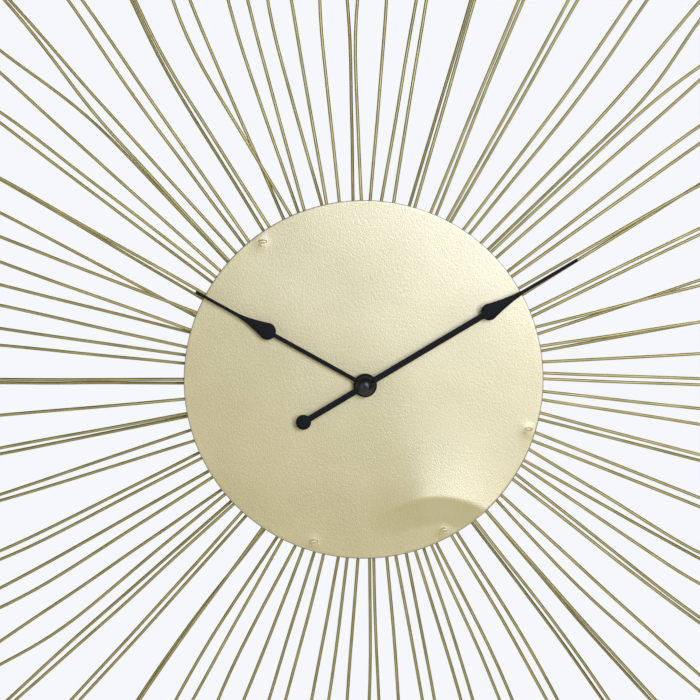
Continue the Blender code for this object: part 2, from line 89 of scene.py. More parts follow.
def new_material(name, **settings):
    """A material with one shader whose own sockets take the settings that are the same all over."""
    material = bpy.data.materials.new(name)
    material.use_nodes = True
    tree = material.node_tree
    tree.nodes.clear()
    shader = add_node(tree, "ShaderNodeBsdfPrincipled", **settings)
    add_node(tree, "ShaderNodeOutputMaterial", {0: shader.outputs[0]})
    return material, tree, shader


def per_millimetre(size):
    """Noise scale that makes one grain that many millimetres wide, in object space."""
    return 1 / (size * MM)


def two_tone(tree, factor, low, high, start=0.3, end=0.7):
    """Colour that runs from low to high as the factor rises."""
    ramp = add_node(tree, "ShaderNodeValToRGB", {"Fac": factor})
    ramp.color_ramp.elements[0].position = start
    ramp.color_ramp.elements[0].color = hex_color(low)
    ramp.color_ramp.elements[1].position = end
    ramp.color_ramp.elements[1].color = hex_color(high)
    return ramp.outputs[0]


def skin(tree, shader, color, grain, rough, relief, depth):
    """Gives the shader its colour, and lets the grain break up its gloss and lift its surface."""
    gloss = add_node(tree, "ShaderNodeMapRange", {"Value": grain}, To_Min=rough[0], To_Max=rough[1])
    bump = add_node(tree, "ShaderNodeBump", {"Height": grain}, Strength=relief, Distance=depth * MM)
    tree.links.new(color, shader.inputs["Base Color"])
    tree.links.new(gloss.outputs[0], shader.inputs["Roughness"])
    tree.links.new(bump.outputs[0], shader.inputs["Normal"])


def surface(name, low, high, patch, rough, grit, relief, depth, stretch=(1, 1, 1), **settings):
    """A finish seen as patches of two colours, with a grit that breaks up its gloss and lifts its skin.

    patch and grit are millimetres across, rough is the roughness from smooth to rough spots, and depth is
    how deep the grit goes, in millimetres, at the strength that relief gives. Grit that would be too fine
    to see is drawn coarser than the real one, so that it shows.
    """
    material, tree, shader = new_material(name, **settings)
    coords = add_node(tree, "ShaderNodeTexCoord").outputs["Object"]
    laid = add_node(tree, "ShaderNodeMapping", {"Vector": coords}, Scale=stretch).outputs[0]
    patches = add_node(tree, "ShaderNodeTexNoise", {"Vector": laid}, Scale=per_millimetre(patch), Detail=3.0)
    grain = add_node(tree, "ShaderNodeTexNoise", {"Vector": laid}, Scale=per_millimetre(grit), Detail=2.0)
    skin(tree, shader, two_tone(tree, patches.outputs[0], low, high), grain.outputs[0], rough, relief, depth)
    return material


# Champagne lacquer sprayed on drawn steel: a pale gold that goes olive where it turns from the light.
WIRE_LACQUER = surface("champagne_lacquer_on_wire", "#978a42", "#b3a55e", patch=18, rough=(0.42, 0.5),
                       grit=2.5, relief=0.04, depth=0.02, Metallic=0.6, IOR=2.4)
# The same lacquer over weld metal and cut ends, where spatter and scale make it coarser and duller.
WELD_LACQUER = surface("champagne_lacquer_on_welds", "#8f8455", "#bdb17d", patch=2.5, rough=(0.35, 0.6),
                       grit=0.7, relief=0.6, depth=0.15, Metallic=0.6)

ANCHOR = {name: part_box(name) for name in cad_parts}
hoop_low, hoop_high = ANCHOR["front_hoop"]
rear_low, rear_high = ANCHOR["rear_hoop"]
CENTRE = (hoop_low + hoop_high) / 2
CENTRE.y = 0.0
HOOP_BAR = 2.0 * MM  # radius of the rod
HOOP_STEPS = 180
HOOP_RADIUS = (hoop_high.x - hoop_low.x) / 2 - HOOP_BAR
FRONT_HOOP_Y = (hoop_low.y + hoop_high.y) / 2
REAR_HOOP_Y = (rear_low.y + rear_high.y) / 2


def around(radius, degrees, y=0.0):
    """A point round the dial's centre, clockwise from twelve."""
    angle = math.radians(degrees)
    return Vector((CENTRE.x + radius * math.sin(angle), y, CENTRE.z + radius * math.cos(angle)))


SEAM = 0.004 * MM  # points closer than this are one


def add_mesh(body, mesh):
    """Moves a finished mesh into the piece."""
    body.from_mesh(mesh)
    bpy.data.meshes.remove(mesh)


def add_part(body, part, name):
    """Moves a part made on its own into the piece."""
    mesh = bpy.data.meshes.new(name)
    part.to_mesh(mesh)
    part.free()
    add_mesh(body, mesh)


def add_curve(body, curve, place=Matrix()):
    """Turns a filled or bevelled curve into closed mesh and adds it to the piece."""
    guide = bpy.data.objects.new("guide", curve)
    bpy.context.scene.collection.objects.link(guide)
    bpy.context.view_layer.update()
    mesh = bpy.data.meshes.new_from_object(guide.evaluated_get(bpy.context.evaluated_depsgraph_get()))
    bpy.data.objects.remove(guide)
    bpy.data.curves.remove(curve)
    mesh.transform(place)
    part = bmesh.new()
    add_mesh(part, mesh)
    bmesh.ops.remove_doubles(part, verts=part.verts, dist=SEAM)
    add_part(body, part, "formed")


def add_rod(body, points, radius, sides=10, closed=False):
    """Round rod bent along points."""
    curve = bpy.data.curves.new("rod", "CURVE")
    curve.dimensions = "3D"
    curve.bevel_depth = radius
    curve.bevel_resolution = sides // 2 - 2
    curve.use_fill_caps = not closed
    spline = curve.splines.new("POLY")
    spline.points.add(len(points) - 1)
    for point, at in zip(spline.points, points):
        point.co = (*at, 1.0)
    spline.use_cyclic_u = closed
    add_curve(body, curve)


def add_turned(body, profile, at, axis="Y", sides=40, hollow=False):
    """Lathe work: a profile of radius and place along the axis, from one end to the other."""
    rings = []
    for radius, along in profile:
        ring = []
        for side in range(1 if radius == 0 else sides):
            angle = 2 * math.pi * side / sides
            across, up = radius * math.sin(angle), radius * math.cos(angle)
            spot = (across, along, up) if axis == "Y" else (along, across, up)
            ring.append(body.verts.new(Vector(spot) + Vector(at)))
        rings.append(ring)
    pairs = list(zip(rings, rings[1:])) + ([(rings[-1], rings[0])] if hollow else [])
    for a, b in pairs:
        for side in range(sides):
            corners = [a[side % len(a)], a[(side + 1) % len(a)], b[(side + 1) % len(b)], b[side % len(b)]]
            body.faces.new(list(dict.fromkeys(corners)))


def finish_piece(name, body, material, rider, slot, *nodes, sharp=38):
    """Makes the mesh a piece, paints it, files it on its body and hides the solids that it stands for.

    Edges that turn by more than sharp degrees stay crisp.
    """
    bmesh.ops.recalc_face_normals(body, faces=body.faces)
    mesh = bpy.data.meshes.new(name)
    body.to_mesh(mesh)
    body.free()
    mesh.shade_smooth()
    mesh.set_sharp_from_angle(angle=math.radians(sharp))
    mesh.materials.append(material)
    obj = bpy.data.objects.new(name, mesh)
    bpy.context.scene.collection.objects.link(obj)
    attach(obj, rider)
    if nodes:
        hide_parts(*nodes)


WELD_LUMP, LUMPS_ACROSS = 0.22, 1.7


def add_weld(body, at, size, seed):
    """A blob of weld metal: a squashed ball with a lumpy skin. The seed makes each one different."""
    part = bmesh.new()
    bmesh.ops.create_icosphere(part, subdivisions=2, radius=1.0)
    for vert in part.verts:
        lump = 1 + WELD_LUMP * noise.noise(vert.co * LUMPS_ACROSS + Vector((seed, 0, 0)))
        vert.co = Vector([c * s for c, s in zip(vert.co, size)]) * lump + at
    add_part(body, part, "weld")


for hoop, y in (("rear_hoop", REAR_HOOP_Y), ("front_hoop", FRONT_HOOP_Y)):
    body = bmesh.new()
    add_rod(body, [around(HOOP_RADIUS, 360 * i / HOOP_STEPS, y) for i in range(HOOP_STEPS)], HOOP_BAR, 12,
            closed=True)
    finish_piece(f"{hoop}_rod", body, WIRE_LACQUER, "frame", "champagne_paint", hoop)


def spindle(node):
    """Lowest and highest corner of a solid turned about Y, and its radius."""
    low, high = ANCHOR[node]
    return low, high, (high.x - low.x) / 2


FILLET = 0.7 * MM  # how far a post's weld spreads at each end
POST_LUMP, POST_LUMP_SPAN = 0.25 * MM, 1.5 * MM
for post in sorted(name for name in ANCHOR if "_post_" in name):
    low, high, radius = spindle(post)
    axis = Vector(((low.x + high.x) / 2, 0.0, (low.z + high.z) / 2))
    profile = [(0, high.y), (radius + FILLET, high.y), (radius + FILLET * 0.6, high.y - FILLET * 0.4),
               (radius * 0.96, high.y - FILLET * 1.6), (radius * 0.96, low.y + FILLET * 1.6),
               (radius + FILLET * 0.6, low.y + FILLET * 0.4), (radius + FILLET, low.y), (0, low.y)]
    body = bmesh.new()
    add_turned(body, profile, axis, sides=16)
    for vert in body.verts:
        lump = POST_LUMP * noise.noise(vert.co / POST_LUMP_SPAN)
        out = Vector((vert.co.x - axis.x, 0, vert.co.z - axis.z))
        vert.co += out.normalized() * lump
    finish_piece(f"{post}_welded", body, WELD_LACQUER, "frame", "champagne_paint", post)

# ------------------------------------------------------------
# Petal wires: 2.25 mm drawn wire, one length bent into seven long loops and welded by its feet to
# both hoops. A loop leaves on the rear hoop and comes home on the front one, so petals shingle.
# Every seventh loop has a narrow neck. Feet are set one by one, and no leg is quite straight.

WIRE_RADIUS = 1.12 * MM
FOOT_RADIUS = 104 * MM
RIM_RADIUS = 126 * MM  # where the legs come out from behind the dial
REACH_RADII = [r * MM for r in (205, 250, 250, 175, 175, 250, 265, 225)]  # wire by wire
SHOULDER_RADIUS = 377 * MM
TIP_RISE = 18 * MM
TIP_STEPS = 16
NARROWEST, WIDEST = 2.4, 3.9  # half the angle that a petal's tip spans
LEG_STEPS = 26
BEND_PULL = 0.45  # how far the outer bend is drawn out, as a share of its span
WAVE = 0.5 * MM
WAVE_LENGTH = 60 * MM
BEND = 3.2 * MM
BEND_STEPS = 5
FOOT_GAP, SOLID_WIRE_RADIUS = 0.3 * MM, 1.2 * MM
TO_LEG = HOOP_BAR + FOOT_GAP + SOLID_WIRE_RADIUS  # a leg's middle stands this far in front of its hoop's
REAR_LEG_Y = REAR_HOOP_Y - TO_LEG
FRONT_LEG_Y = FRONT_HOOP_Y - TO_LEG
FOOT_WELD = (1.1 * MM, 0.9 * MM, 1.1 * MM)
WELD_SIDE = 1.5 * MM  # from a leg's middle to the weld on each side of it
# Each petal's two legs, in degrees: where both leave the rim, then where both pass the reach radius.
PETALS = (
    ((-3.3, -0.8, -2.4, -1.6), (2.2, 9.4, 3.2, 9.3), (5.7, 16.3, 7.3, 16.2), (14.8, 21.6, 15.5, 21.9),
     (23.8, 27.3, 22.9, 28.0), (28.9, 33.3, 29.3, 34.8), (36.0, 40.4, 37.2, 41.7)),
    ((43.8, 44.6, 45.0, 45.7), (47.5, 54.8, 48.3, 54.8), (53.2, 59.2, 52.8, 59.7), (62.0, 67.2, 60.0, 65.6),
     (69.6, 72.7, 66.8, 74.3), (75.5, 79.0, 73.6, 80.2), (81.0, 84.1, 80.4, 85.6)),
    ((88.1, 89.5, 90.1, 90.9), (94.0, 100.5, 95.2, 102.7), (96.6, 107.0, 97.9, 109.4),
     (103.0, 112.8, 103.7, 117.2), (110.2, 118.4, 110.9, 121.3), (117.0, 123.7, 118.2, 125.8),
     (122.0, 130.0, 125.2, 131.2)),
    ((132.3, 136.8, 133.7, 137.4), (137.2, 141.7, 138.0, 141.8), (143.0, 150.6, 143.0, 150.2),
     (148.7, 157.7, 148.4, 157.2), (156.2, 163.3, 155.3, 163.1), (160.5, 169.7, 160.7, 169.6),
     (166.2, 172.7, 166.9, 173.3)),
    ((176.7, 178.2, 177.2, 178.5), (181.7, 185.4, 182.5, 185.8), (188.0, 193.0, 188.7, 193.4),
     (195.8, 199.9, 196.2, 200.2), (202.2, 207.2, 203.8, 207.8), (208.6, 214.5, 209.9, 215.0),
     (213.3, 222.9, 214.7, 222.6)),
    ((220.6, 226.5, 221.2, 227.1), (227.3, 230.7, 228.0, 230.5), (232.0, 237.5, 233.7, 237.4),
     (239.3, 244.5, 239.8, 243.6), (246.0, 250.6, 244.6, 251.7), (253.7, 259.6, 252.5, 259.6),
     (258.2, 264.3, 258.4, 264.6)),
    ((268.9, 270.6, 269.6, 270.3), (275.2, 280.9, 275.5, 281.9), (277.9, 286.5, 278.1, 288.3),
     (285.3, 292.3, 284.7, 291.8), (290.8, 298.8, 294.7, 299.3), (296.7, 305.2, 298.9, 306.6),
     (302.8, 307.6, 305.1, 310.0)),
    ((311.0, 311.8, 313.6, 314.3), (314.9, 320.6, 316.2, 322.8), (318.5, 328.5, 320.7, 328.2),
     (326.2, 336.2, 327.3, 333.0), (333.6, 340.8, 335.0, 342.6), (338.8, 348.1, 339.7, 349.0),
     (346.6, 352.2, 345.6, 353.0)),
)
PER_WIRE = 7
PETAL_COUNT = len(PETALS) * PER_WIRE


def leg_points(foot, reach, shoulder, reach_radius, y, seed):
    """One leg: straight from its foot to the reach radius, then one easy bend to the petal's shoulder."""
    start = around(RIM_RADIUS, foot)
    through = around(reach_radius, reach)
    top = around(SHOULDER_RADIUS, shoulder)
    straight = (through - start).normalized()
    inner = start - straight * (RIM_RADIUS - FOOT_RADIUS)
    pull = (top - through).length * BEND_PULL
    bend_out = through + straight * pull
    bend_home = top + (CENTRE - top).normalized() * pull
    points = []
    for step in range(LEG_STEPS + 1):
        share = step / LEG_STEPS * 2
        if share <= 1:
            spot = inner.lerp(through, share)
        else:
            t = share - 1
            spot = (through * (1 - t) ** 3 + bend_out * 3 * t * (1 - t) ** 2
                    + bend_home * 3 * t * t * (1 - t) + top * t**3)
        held = math.sin(math.pi * step / LEG_STEPS)
        along = (spot - CENTRE).length / WAVE_LENGTH
        side = straight.cross(Vector((0, 1, 0))) * (WAVE * held * noise.noise(Vector((along, seed, 0.5))))
        depth = WAVE * 2 * held * noise.noise(Vector((along, seed, 7.5)))
        points.append(Vector((spot.x + side.x, y + depth, spot.z + side.z)))
    return points


def petal_points(number, petal):
    """One loop: out along the rear leg, round the tip, and home along the front leg."""
    foot_a, foot_b, reach_a, reach_b = petal
    middle = (360 * number / PETAL_COUNT + (reach_a + reach_b) / 2) / 2
    half = min(max((reach_b - reach_a) / 2, NARROWEST), WIDEST)
    reach_radius = REACH_RADII[number // PER_WIRE]
    points = leg_points(foot_a, reach_a, middle - half, reach_radius, REAR_LEG_Y, number)
    for step in range(1, TIP_STEPS):
        turn = math.pi * step / TIP_STEPS
        y = REAR_LEG_Y + (FRONT_LEG_Y - REAR_LEG_Y) * (1 - math.cos(turn)) / 2
        points.append(around(SHOULDER_RADIUS + TIP_RISE * math.sin(turn), middle - half * math.cos(turn), y))
    home = leg_points(foot_b, reach_b, middle + half, reach_radius, FRONT_LEG_Y, number + 90)
    return points + home[::-1]


def round_corner(before, corner, after):
    """Points that take a sharp bend round a mandrel."""
    start = corner + (before - corner).normalized() * BEND
    end = corner + (after - corner).normalized() * BEND
    shares = [step / BEND_STEPS for step in range(BEND_STEPS + 1)]
    return [start.lerp(corner, t).lerp(corner.lerp(end, t), t) for t in shares]


rear_welds, front_welds = bmesh.new(), bmesh.new()
for row, petals in enumerate(PETALS):
    path = []
    for index, petal in enumerate(petals):
        number = row * PER_WIRE + index
        loop = petal_points(number, petal)
        if path:
            path = path[:-1] + round_corner(path[-2], path[-1], loop[0])
            path += round_corner(path[-1], loop[0], loop[1])
            loop = loop[1:]
        path += loop
        for welds, foot, y in ((rear_welds, petal[0], REAR_LEG_Y), (front_welds, petal[1], FRONT_LEG_Y)):
            for side in (-1, 1):
                aside = side * (around(WELD_SIDE, foot + 90) - CENTRE)
                at = around(HOOP_RADIUS, foot, y + WIRE_RADIUS * 0.9) + aside
                add_weld(welds, at, FOOT_WELD, number + side * 0.3)
    body = bmesh.new()
    add_rod(body, path, WIRE_RADIUS, 10)
    finish_piece(f"petal_wire_{row + 1}_bent", body, WIRE_LACQUER, "frame", "champagne_paint",
                 f"petal_wire_{row + 1}", sharp=50)
finish_piece("rear_foot_welds", rear_welds, WELD_LACQUER, "frame", "champagne_paint")
finish_piece("front_foot_welds", front_welds, WELD_LACQUER, "frame", "champagne_paint")

# ------------------------------------------------------------
# Wall side: a hanger blanked from 1.5 mm strip with a keyhole, tacked behind the rear hoop at
# twelve, and three moulded rubber bumpers that slip on the hoop and keep the wires off the wall.


def circle(radius, sides, x=0.0, z=0.0):
    """Corners of a round outline, clockwise from its top."""
    return [(x + radius * math.sin(2 * math.pi * i / sides), z + radius * math.cos(2 * math.pi * i / sides))
            for i in range(sides)]


def rounded(corners, radius, steps=5):
    """An outline with each of its corners rounded."""
    outline = []
    for index, corner in enumerate(corners):
        here = Vector(corner)
        before, after = Vector(corners[index - 1]), Vector(corners[(index + 1) % len(corners)])
        start = here + (before - here).normalized() * radius
        end = here + (after - here).normalized() * radius
        for step in range(steps + 1):
            t = step / steps
            outline.append(tuple(start.lerp(here, t).lerp(here.lerp(end, t), t)))
    return outline


def add_plate(body, outlines, back, front, edge, at=(0.0, 0.0), turn=0.0):
    """Sheet cut to an outline in XZ with holes, from y = back to front, with its edges eased."""
    curve = bpy.data.curves.new("plate", "CURVE")
    curve.dimensions = "2D"
    curve.fill_mode = "BOTH"
    curve.extrude = (back - front) / 2 - edge
    curve.bevel_depth = edge
    curve.bevel_resolution = 1
    curve.offset = -edge
    for outline in outlines:
        spline = curve.splines.new("POLY")
        spline.points.add(len(outline) - 1)
        for point, (x, z) in zip(spline.points, outline):
            point.co = (x, z, 0.0, 1.0)
        spline.use_cyclic_u = True
    spin = Euler((math.pi / 2, math.radians(turn), 0.0)).to_matrix().to_4x4()
    add_curve(body, curve, Matrix.Translation((at[0], (back + front) / 2, at[1])) @ spin)


plate_low, plate_high = ANCHOR["hanger_plate"]
KEYHOLE_RADIUS = 5 * MM
KEYHOLE_Z = CENTRE.z + 93 * MM
SLOT_RADIUS = 2.2 * MM
SLOT_STEPS, HEAD_STEPS = 12, 32
HANGER_WELD = (1.5 * MM, 0.9 * MM, 1.0 * MM)
neck = math.asin(SLOT_RADIUS / KEYHOLE_RADIUS)
bow = [math.pi * i / SLOT_STEPS for i in range(SLOT_STEPS + 1)]
keyhole = [(-SLOT_RADIUS * math.cos(a), -SLOT_RADIUS + SLOT_RADIUS * math.sin(a)) for a in bow]
sweep = [neck + (2 * math.pi - 2 * neck) * i / HEAD_STEPS for i in range(HEAD_STEPS + 1)]
keyhole += [(KEYHOLE_RADIUS * math.sin(a), KEYHOLE_Z + KEYHOLE_RADIUS * math.cos(a)) for a in sweep]
edge = [(plate_low.x, plate_low.z), (plate_high.x, plate_low.z), (plate_high.x, plate_high.z),
        (plate_low.x, plate_high.z)]
body = bmesh.new()
add_plate(body, [rounded(edge, 4 * MM), keyhole], plate_high.y, plate_low.y, 0.25 * MM)
for side in (-1, 1):
    for step in range(4):
        at = around(HOOP_RADIUS + 1.8 * MM, side * (2.2 + step * 1.1), plate_low.y - 0.2 * MM)
        add_weld(body, at, HANGER_WELD, side * step + 40)
finish_piece("hanger_plate_blanked", body, WELD_LACQUER, "frame", "champagne_paint", "hanger_plate")

# Moulded EPDM rubber: a matt near-black skin with the faint orange peel of its mould.
RUBBER = surface("moulded_rubber", "#161616", "#232322", patch=6, rough=(0.62, 0.85), grit=0.5, relief=0.3,
                 depth=0.05)
# A bumper's outline from its wall end, as shares of its radius and of its height.
BUMPER = ((0, 0.08), (0.35, 0.07), (0.45, 0.0), (0.72, 0.0), (0.85, 0.08), (0.93, 0.25), (0.94, 0.45),
          (0.86, 0.5), (0.86, 0.6), (0.96, 0.65), (1.0, 0.75), (1.0, 0.95), (0.96, 1.0), (0, 1.0))


def turn_piece(name, profile, at, material, rider, slot, *nodes, sharp=38, **lathe):
    """A piece that comes off the lathe, or out of a round mould, in one."""
    body = bmesh.new()
    add_turned(body, profile, at, **lathe)
    finish_piece(name, body, material, rider, slot, *nodes, sharp=sharp)


for pad in ("wall_pad_1", "wall_pad_2", "wall_pad_3"):
    low, high, radius = spindle(pad)
    profile = [(radius * r, high.y - (high.y - low.y) * d) for r, d in BUMPER]
    turn_piece(f"{pad}_moulded", profile, ((low.x + high.x) / 2, 0, (low.z + high.z) / 2), RUBBER, "frame",
               "rubber", pad, sides=36, sharp=50)

# ------------------------------------------------------------
# Movement case: a black ABS tub with a shelf between the train's room and the battery's, a bolted
# bushing through its front, and a rubber gasket that grips the dial. Injection moulded in two halves.


def add_block(body, low, high, edge, steps=2):
    """Rectangular block with rounded edges."""
    part = bmesh.new()
    bmesh.ops.create_cube(part, size=1.0)
    for vert in part.verts:
        vert.co = Vector([l + (h - l) * (c + 0.5) for c, l, h in zip(vert.co, low, high)])
    bmesh.ops.bevel(part, geom=part.edges[:], offset=edge, segments=steps, affect="EDGES", profile=0.5)
    add_part(body, part, "block")


def box_outline(left, bottom, right, top, radius):
    """A rectangle with rounded corners."""
    return rounded([(left, bottom), (right, bottom), (right, top), (left, top)], radius)


# Black ABS with a fine spark texture from its mould: satin, with a soft grey sheen.
ABS = surface("moulded_abs", "#141415", "#1f1f21", patch=9, rough=(0.38, 0.56), grit=0.4, relief=0.3,
              depth=0.03)
# Turned brass: warm metal with fine rings from the lathe, drawn coarser than real so that they show.
BRASS = surface("turned_brass", "#b08b45", "#cfab62", patch=3, rough=(0.2, 0.38), grit=0.35, relief=0.25,
                depth=0.02, stretch=(0.15, 1, 0.15), Metallic=1.0)
# Bright drawn steel: neutral grey metal with lines along the bar.
STEEL = surface("bright_steel", "#9b9ca0", "#c3c4c8", patch=4, rough=(0.18, 0.34), grit=0.3, relief=0.15,
                depth=0.015, stretch=(1, 0.1, 1), Metallic=1.0)
# Natural acetal: milky off-white plastic that lets a little light in.
ACETAL = surface("natural_acetal", "#dedacb", "#efece2", patch=5, rough=(0.32, 0.48), grit=0.5, relief=0.12,
                 depth=0.02, Subsurface_Weight=0.12, Subsurface_Scale=1.5 * MM)

case_low, case_high = ANCHOR["movement_case"]
arbor_low, arbor_high = ANCHOR["minute_arbor"]
ARBOR_X = (arbor_low.x + arbor_high.x) / 2
ARBOR_Z = (arbor_low.z + arbor_high.z) / 2
WALL = 1.6 * MM
BUSHING_HOLE = 3.3 * MM
RIBS, RIB_PITCH = 7, 3.2 * MM  # finger grips down each side
BOSS = ((0, -0.2), (1.5, -0.2), (1.4, 5.0), (1.1, 5.3), (0, 5.3))  # mm: radius, height over the floor
SHELF_TOP = ARBOR_Z - 15.0 * MM
SHELF_BOTTOM = SHELF_TOP - WALL
CORNER = 3.0 * MM
CASE_FLOOR = case_low.y + WALL
outer = box_outline(case_low.x, case_low.z, case_high.x, case_high.z, CORNER)
train_room = box_outline(case_low.x + WALL, SHELF_TOP, case_high.x - WALL, case_high.z - WALL, CORNER / 2)
battery_room = box_outline(case_low.x + WALL, case_low.z + WALL, case_high.x - WALL, SHELF_BOTTOM, CORNER / 2)
body = bmesh.new()
add_plate(body, [outer, train_room, battery_room], case_high.y, CASE_FLOOR - 0.1 * MM, 0.25 * MM)
add_plate(body, [outer, circle(BUSHING_HOLE, 32, ARBOR_X, ARBOR_Z)], CASE_FLOOR, case_low.y, 0.45 * MM)
for x in (case_low.x, case_high.x):
    for rib in range(RIBS):
        z = ARBOR_Z + (rib - RIBS // 2) * RIB_PITCH
        add_block(body, (x - 0.35 * MM, case_low.y + 3 * MM, z - 0.5 * MM),
                  (x + 0.35 * MM, case_high.y - 3 * MM, z + 0.5 * MM), 0.2 * MM)
for x in (case_low.x + 4 * MM, case_high.x - 4 * MM):
    for z in (SHELF_TOP + 3 * MM, case_high.z - 4 * MM):
        add_turned(body, [(r * MM, CASE_FLOOR + h * MM) for r, h in BOSS], (x, 0, z), sides=20)
finish_piece("movement_case_moulded", body, ABS, "frame", "black_plastic", "movement_case", sharp=50)


def add_washer(body, outer_radius, inner_radius, back, front, edge, at, sides=48):
    """A ring with eased edges, turned about a line along Y."""
    profile = [(inner_radius, back - edge), (inner_radius + edge, back), (outer_radius - edge, back),
               (outer_radius, back - edge), (outer_radius, front + edge), (outer_radius - edge, front),
               (inner_radius + edge, front), (inner_radius, front + edge)]
    add_turned(body, profile, at, sides=sides, hollow=True)


AXIS = (ARBOR_X, 0.0, ARBOR_Z)
BUSHING_FIT = 4.2 * MM  # what slips over the bushing has this bore
low, high, radius = spindle("rubber_gasket")
body = bmesh.new()
add_washer(body, radius, BUSHING_FIT, high.y, low.y, 0.2 * MM, AXIS)
finish_piece("gasket_punched", body, RUBBER, "frame", "rubber", "rubber_gasket")

THREAD_PITCH = 0.75 * MM
THREAD_DEPTH = 0.4 * MM
BUSHING_BORE = 2.9 * MM
PLAIN_SHANK = 2.6 * MM  # what the thread leaves free at the case
low, high, radius = spindle("threaded_bushing")
profile = [(BUSHING_BORE, high.y), (radius, high.y)]
y = high.y - PLAIN_SHANK
while y - THREAD_PITCH > low.y + 0.3 * MM:
    profile += [(radius - THREAD_DEPTH, y), (radius, y - THREAD_PITCH / 2)]
    y -= THREAD_PITCH
profile += [(radius - THREAD_DEPTH, low.y), (BUSHING_BORE, low.y)]
turn_piece("bushing_threaded", profile, AXIS, BRASS, "frame", "brass", "threaded_bushing", hollow=True,
           sharp=30)

# ------------------------------------------------------------
# Works: the circuit board with its chip under an epoxy blob, the crystal can, the drive coil on its
# bobbin, and the motor's subframe with its wheels. All of them sit in the case's upper room.

# Green solder mask over glass laminate: glossy, with the copper under it just showing as paler green.
SOLDER_MASK = surface("solder_mask", "#0e4423", "#16602f", patch=2.2, rough=(0.25, 0.4), grit=0.4,
                      relief=0.12, depth=0.02, Coat_Weight=0.4, Coat_Roughness=0.15)
# Enamelled copper magnet wire: reddish metal under clear varnish.
MAGNET_WIRE = surface("enamelled_copper", "#96461f", "#c8733f", patch=1.5, rough=(0.25, 0.42), grit=0.3,
                      relief=0.2, depth=0.03, Metallic=0.9, Coat_Weight=0.5, Coat_Roughness=0.1)
# Cast epoxy: a glossy black drop.
EPOXY = surface("cast_epoxy", "#0b0b0c", "#161619", patch=2, rough=(0.12, 0.24), grit=0.6, relief=0.1,
                depth=0.03)
# Tinned solder: bright, slightly frosted grey metal.
SOLDER = surface("tinned_solder", "#a5a7ab", "#cfd1d6", patch=1, rough=(0.2, 0.4), grit=0.3, relief=0.2,
                 depth=0.02, Metallic=1.0)

low, high = ANCHOR["circuit_board"]
body = bmesh.new()
outline = box_outline(low.x, low.z, high.x, high.z, 1.2 * MM)
BOARD_HOLE, HOLE_INSET = 0.9 * MM, 2.2 * MM
BLOB = ((0, 1.3), (1.3, 1.15), (2.3, 0.7), (2.8, 0.2), (2.9, 0), (0, 0))  # mm: radius, height over the board
JOINTS, JOINT_PITCH = 6, 2.0
holes = [circle(BOARD_HOLE, 16, x, z) for x in (low.x + HOLE_INSET, high.x - HOLE_INSET)
         for z in (low.z + HOLE_INSET, high.z - HOLE_INSET)]
add_plate(body, [outline, *holes], high.y, low.y, 0.08 * MM)
finish_piece("circuit_board_etched", body, SOLDER_MASK, "frame", "board_green", "circuit_board")
chip_at = Vector((low.x + 5.5 * MM, high.y - 0.1 * MM, low.z + 4.8 * MM))
turn_piece("chip_epoxy_blob", [(r * MM, h * MM) for r, h in BLOB], chip_at, EPOXY, "frame", "black_plastic",
           sides=32)
body = bmesh.new()
for index in range(JOINTS):
    at = Vector((low.x + (10 + index * JOINT_PITCH) * MM, high.y + 0.15 * MM, low.z + 11.4 * MM))
    add_weld(body, at, (0.6 * MM, 0.3 * MM, 0.6 * MM), index + 70)
finish_piece("solder_joints", body, SOLDER, "frame", "steel")


def barrel(node):
    """Lowest and highest corner of a round solid that lies along X, its radius and its line."""
    low, high = ANCHOR[node]
    return low, high, (high.z - low.z) / 2, Vector((0, (low.y + high.y) / 2, (low.z + high.z) / 2))


LEAD_RADIUS, LEAD_SPREAD = 0.14 * MM, 0.35 * MM
low, high, can_radius, can_at = barrel("quartz_crystal")
body = bmesh.new()
add_turned(body, [(0, low.x), (can_radius * 0.7, low.x), (can_radius, low.x + 0.3 * MM),
                  (can_radius, high.x - 0.9 * MM), (can_radius * 0.94, high.x - 0.8 * MM),
                  (can_radius * 0.94, high.x - 0.4 * MM), (can_radius, high.x - 0.3 * MM),
                  (can_radius, high.x), (0, high.x)], can_at, axis="X", sides=24)
for side in (-1, 1):
    lead = can_at + Vector((high.x - 0.1 * MM, 0, side * LEAD_SPREAD))
    bent = [Vector(spot) * MM for spot in ((0, 0, 0), (1.4, 0, 0), (1.6, -0.9, side * 0.3))]
    add_rod(body, [lead + spot for spot in bent], LEAD_RADIUS, 8)
finish_piece("crystal_can", body, STEEL, "frame", "steel", "quartz_crystal")

low, high, coil_radius, coil_at = barrel("drive_coil")
FLANGE = 0.8 * MM
LAY = 0.25 * MM  # pitch of the winding, twice the real wire's so that it shows
profile = [(0, low.x + FLANGE)]
x = low.x + FLANGE
while x + LAY < high.x - FLANGE:
    profile += [(coil_radius * 0.86, x), (coil_radius * 0.92, x + LAY / 2)]
    x += LAY
profile += [(coil_radius * 0.86, x), (0, x)]
turn_piece("coil_winding", profile, coil_at, MAGNET_WIRE, "frame", "copper_winding", "drive_coil", axis="X",
           sides=24, sharp=80)
body = bmesh.new()
for start in (low.x, high.x - FLANGE):
    add_turned(body, [(0, start), (coil_radius * 0.9, start), (coil_radius, start + 0.15 * MM),
                      (coil_radius, start + FLANGE - 0.15 * MM), (coil_radius * 0.9, start + FLANGE),
                      (0, start + FLANGE)], coil_at, axis="X", sides=32)
finish_piece("coil_bobbin", body, ACETAL, "frame", "white_nylon")


def gear_outline(teeth, tip, root):
    """Spur teeth with sloping flanks round a centre."""
    outline = []
    for tooth in range(teeth):
        for share, radius in ((-0.3, root), (-0.12, tip), (0.12, tip), (0.3, root)):
            angle = 2 * math.pi * (tooth + share) / teeth
            outline.append((radius * math.sin(angle), radius * math.cos(angle)))
    return outline


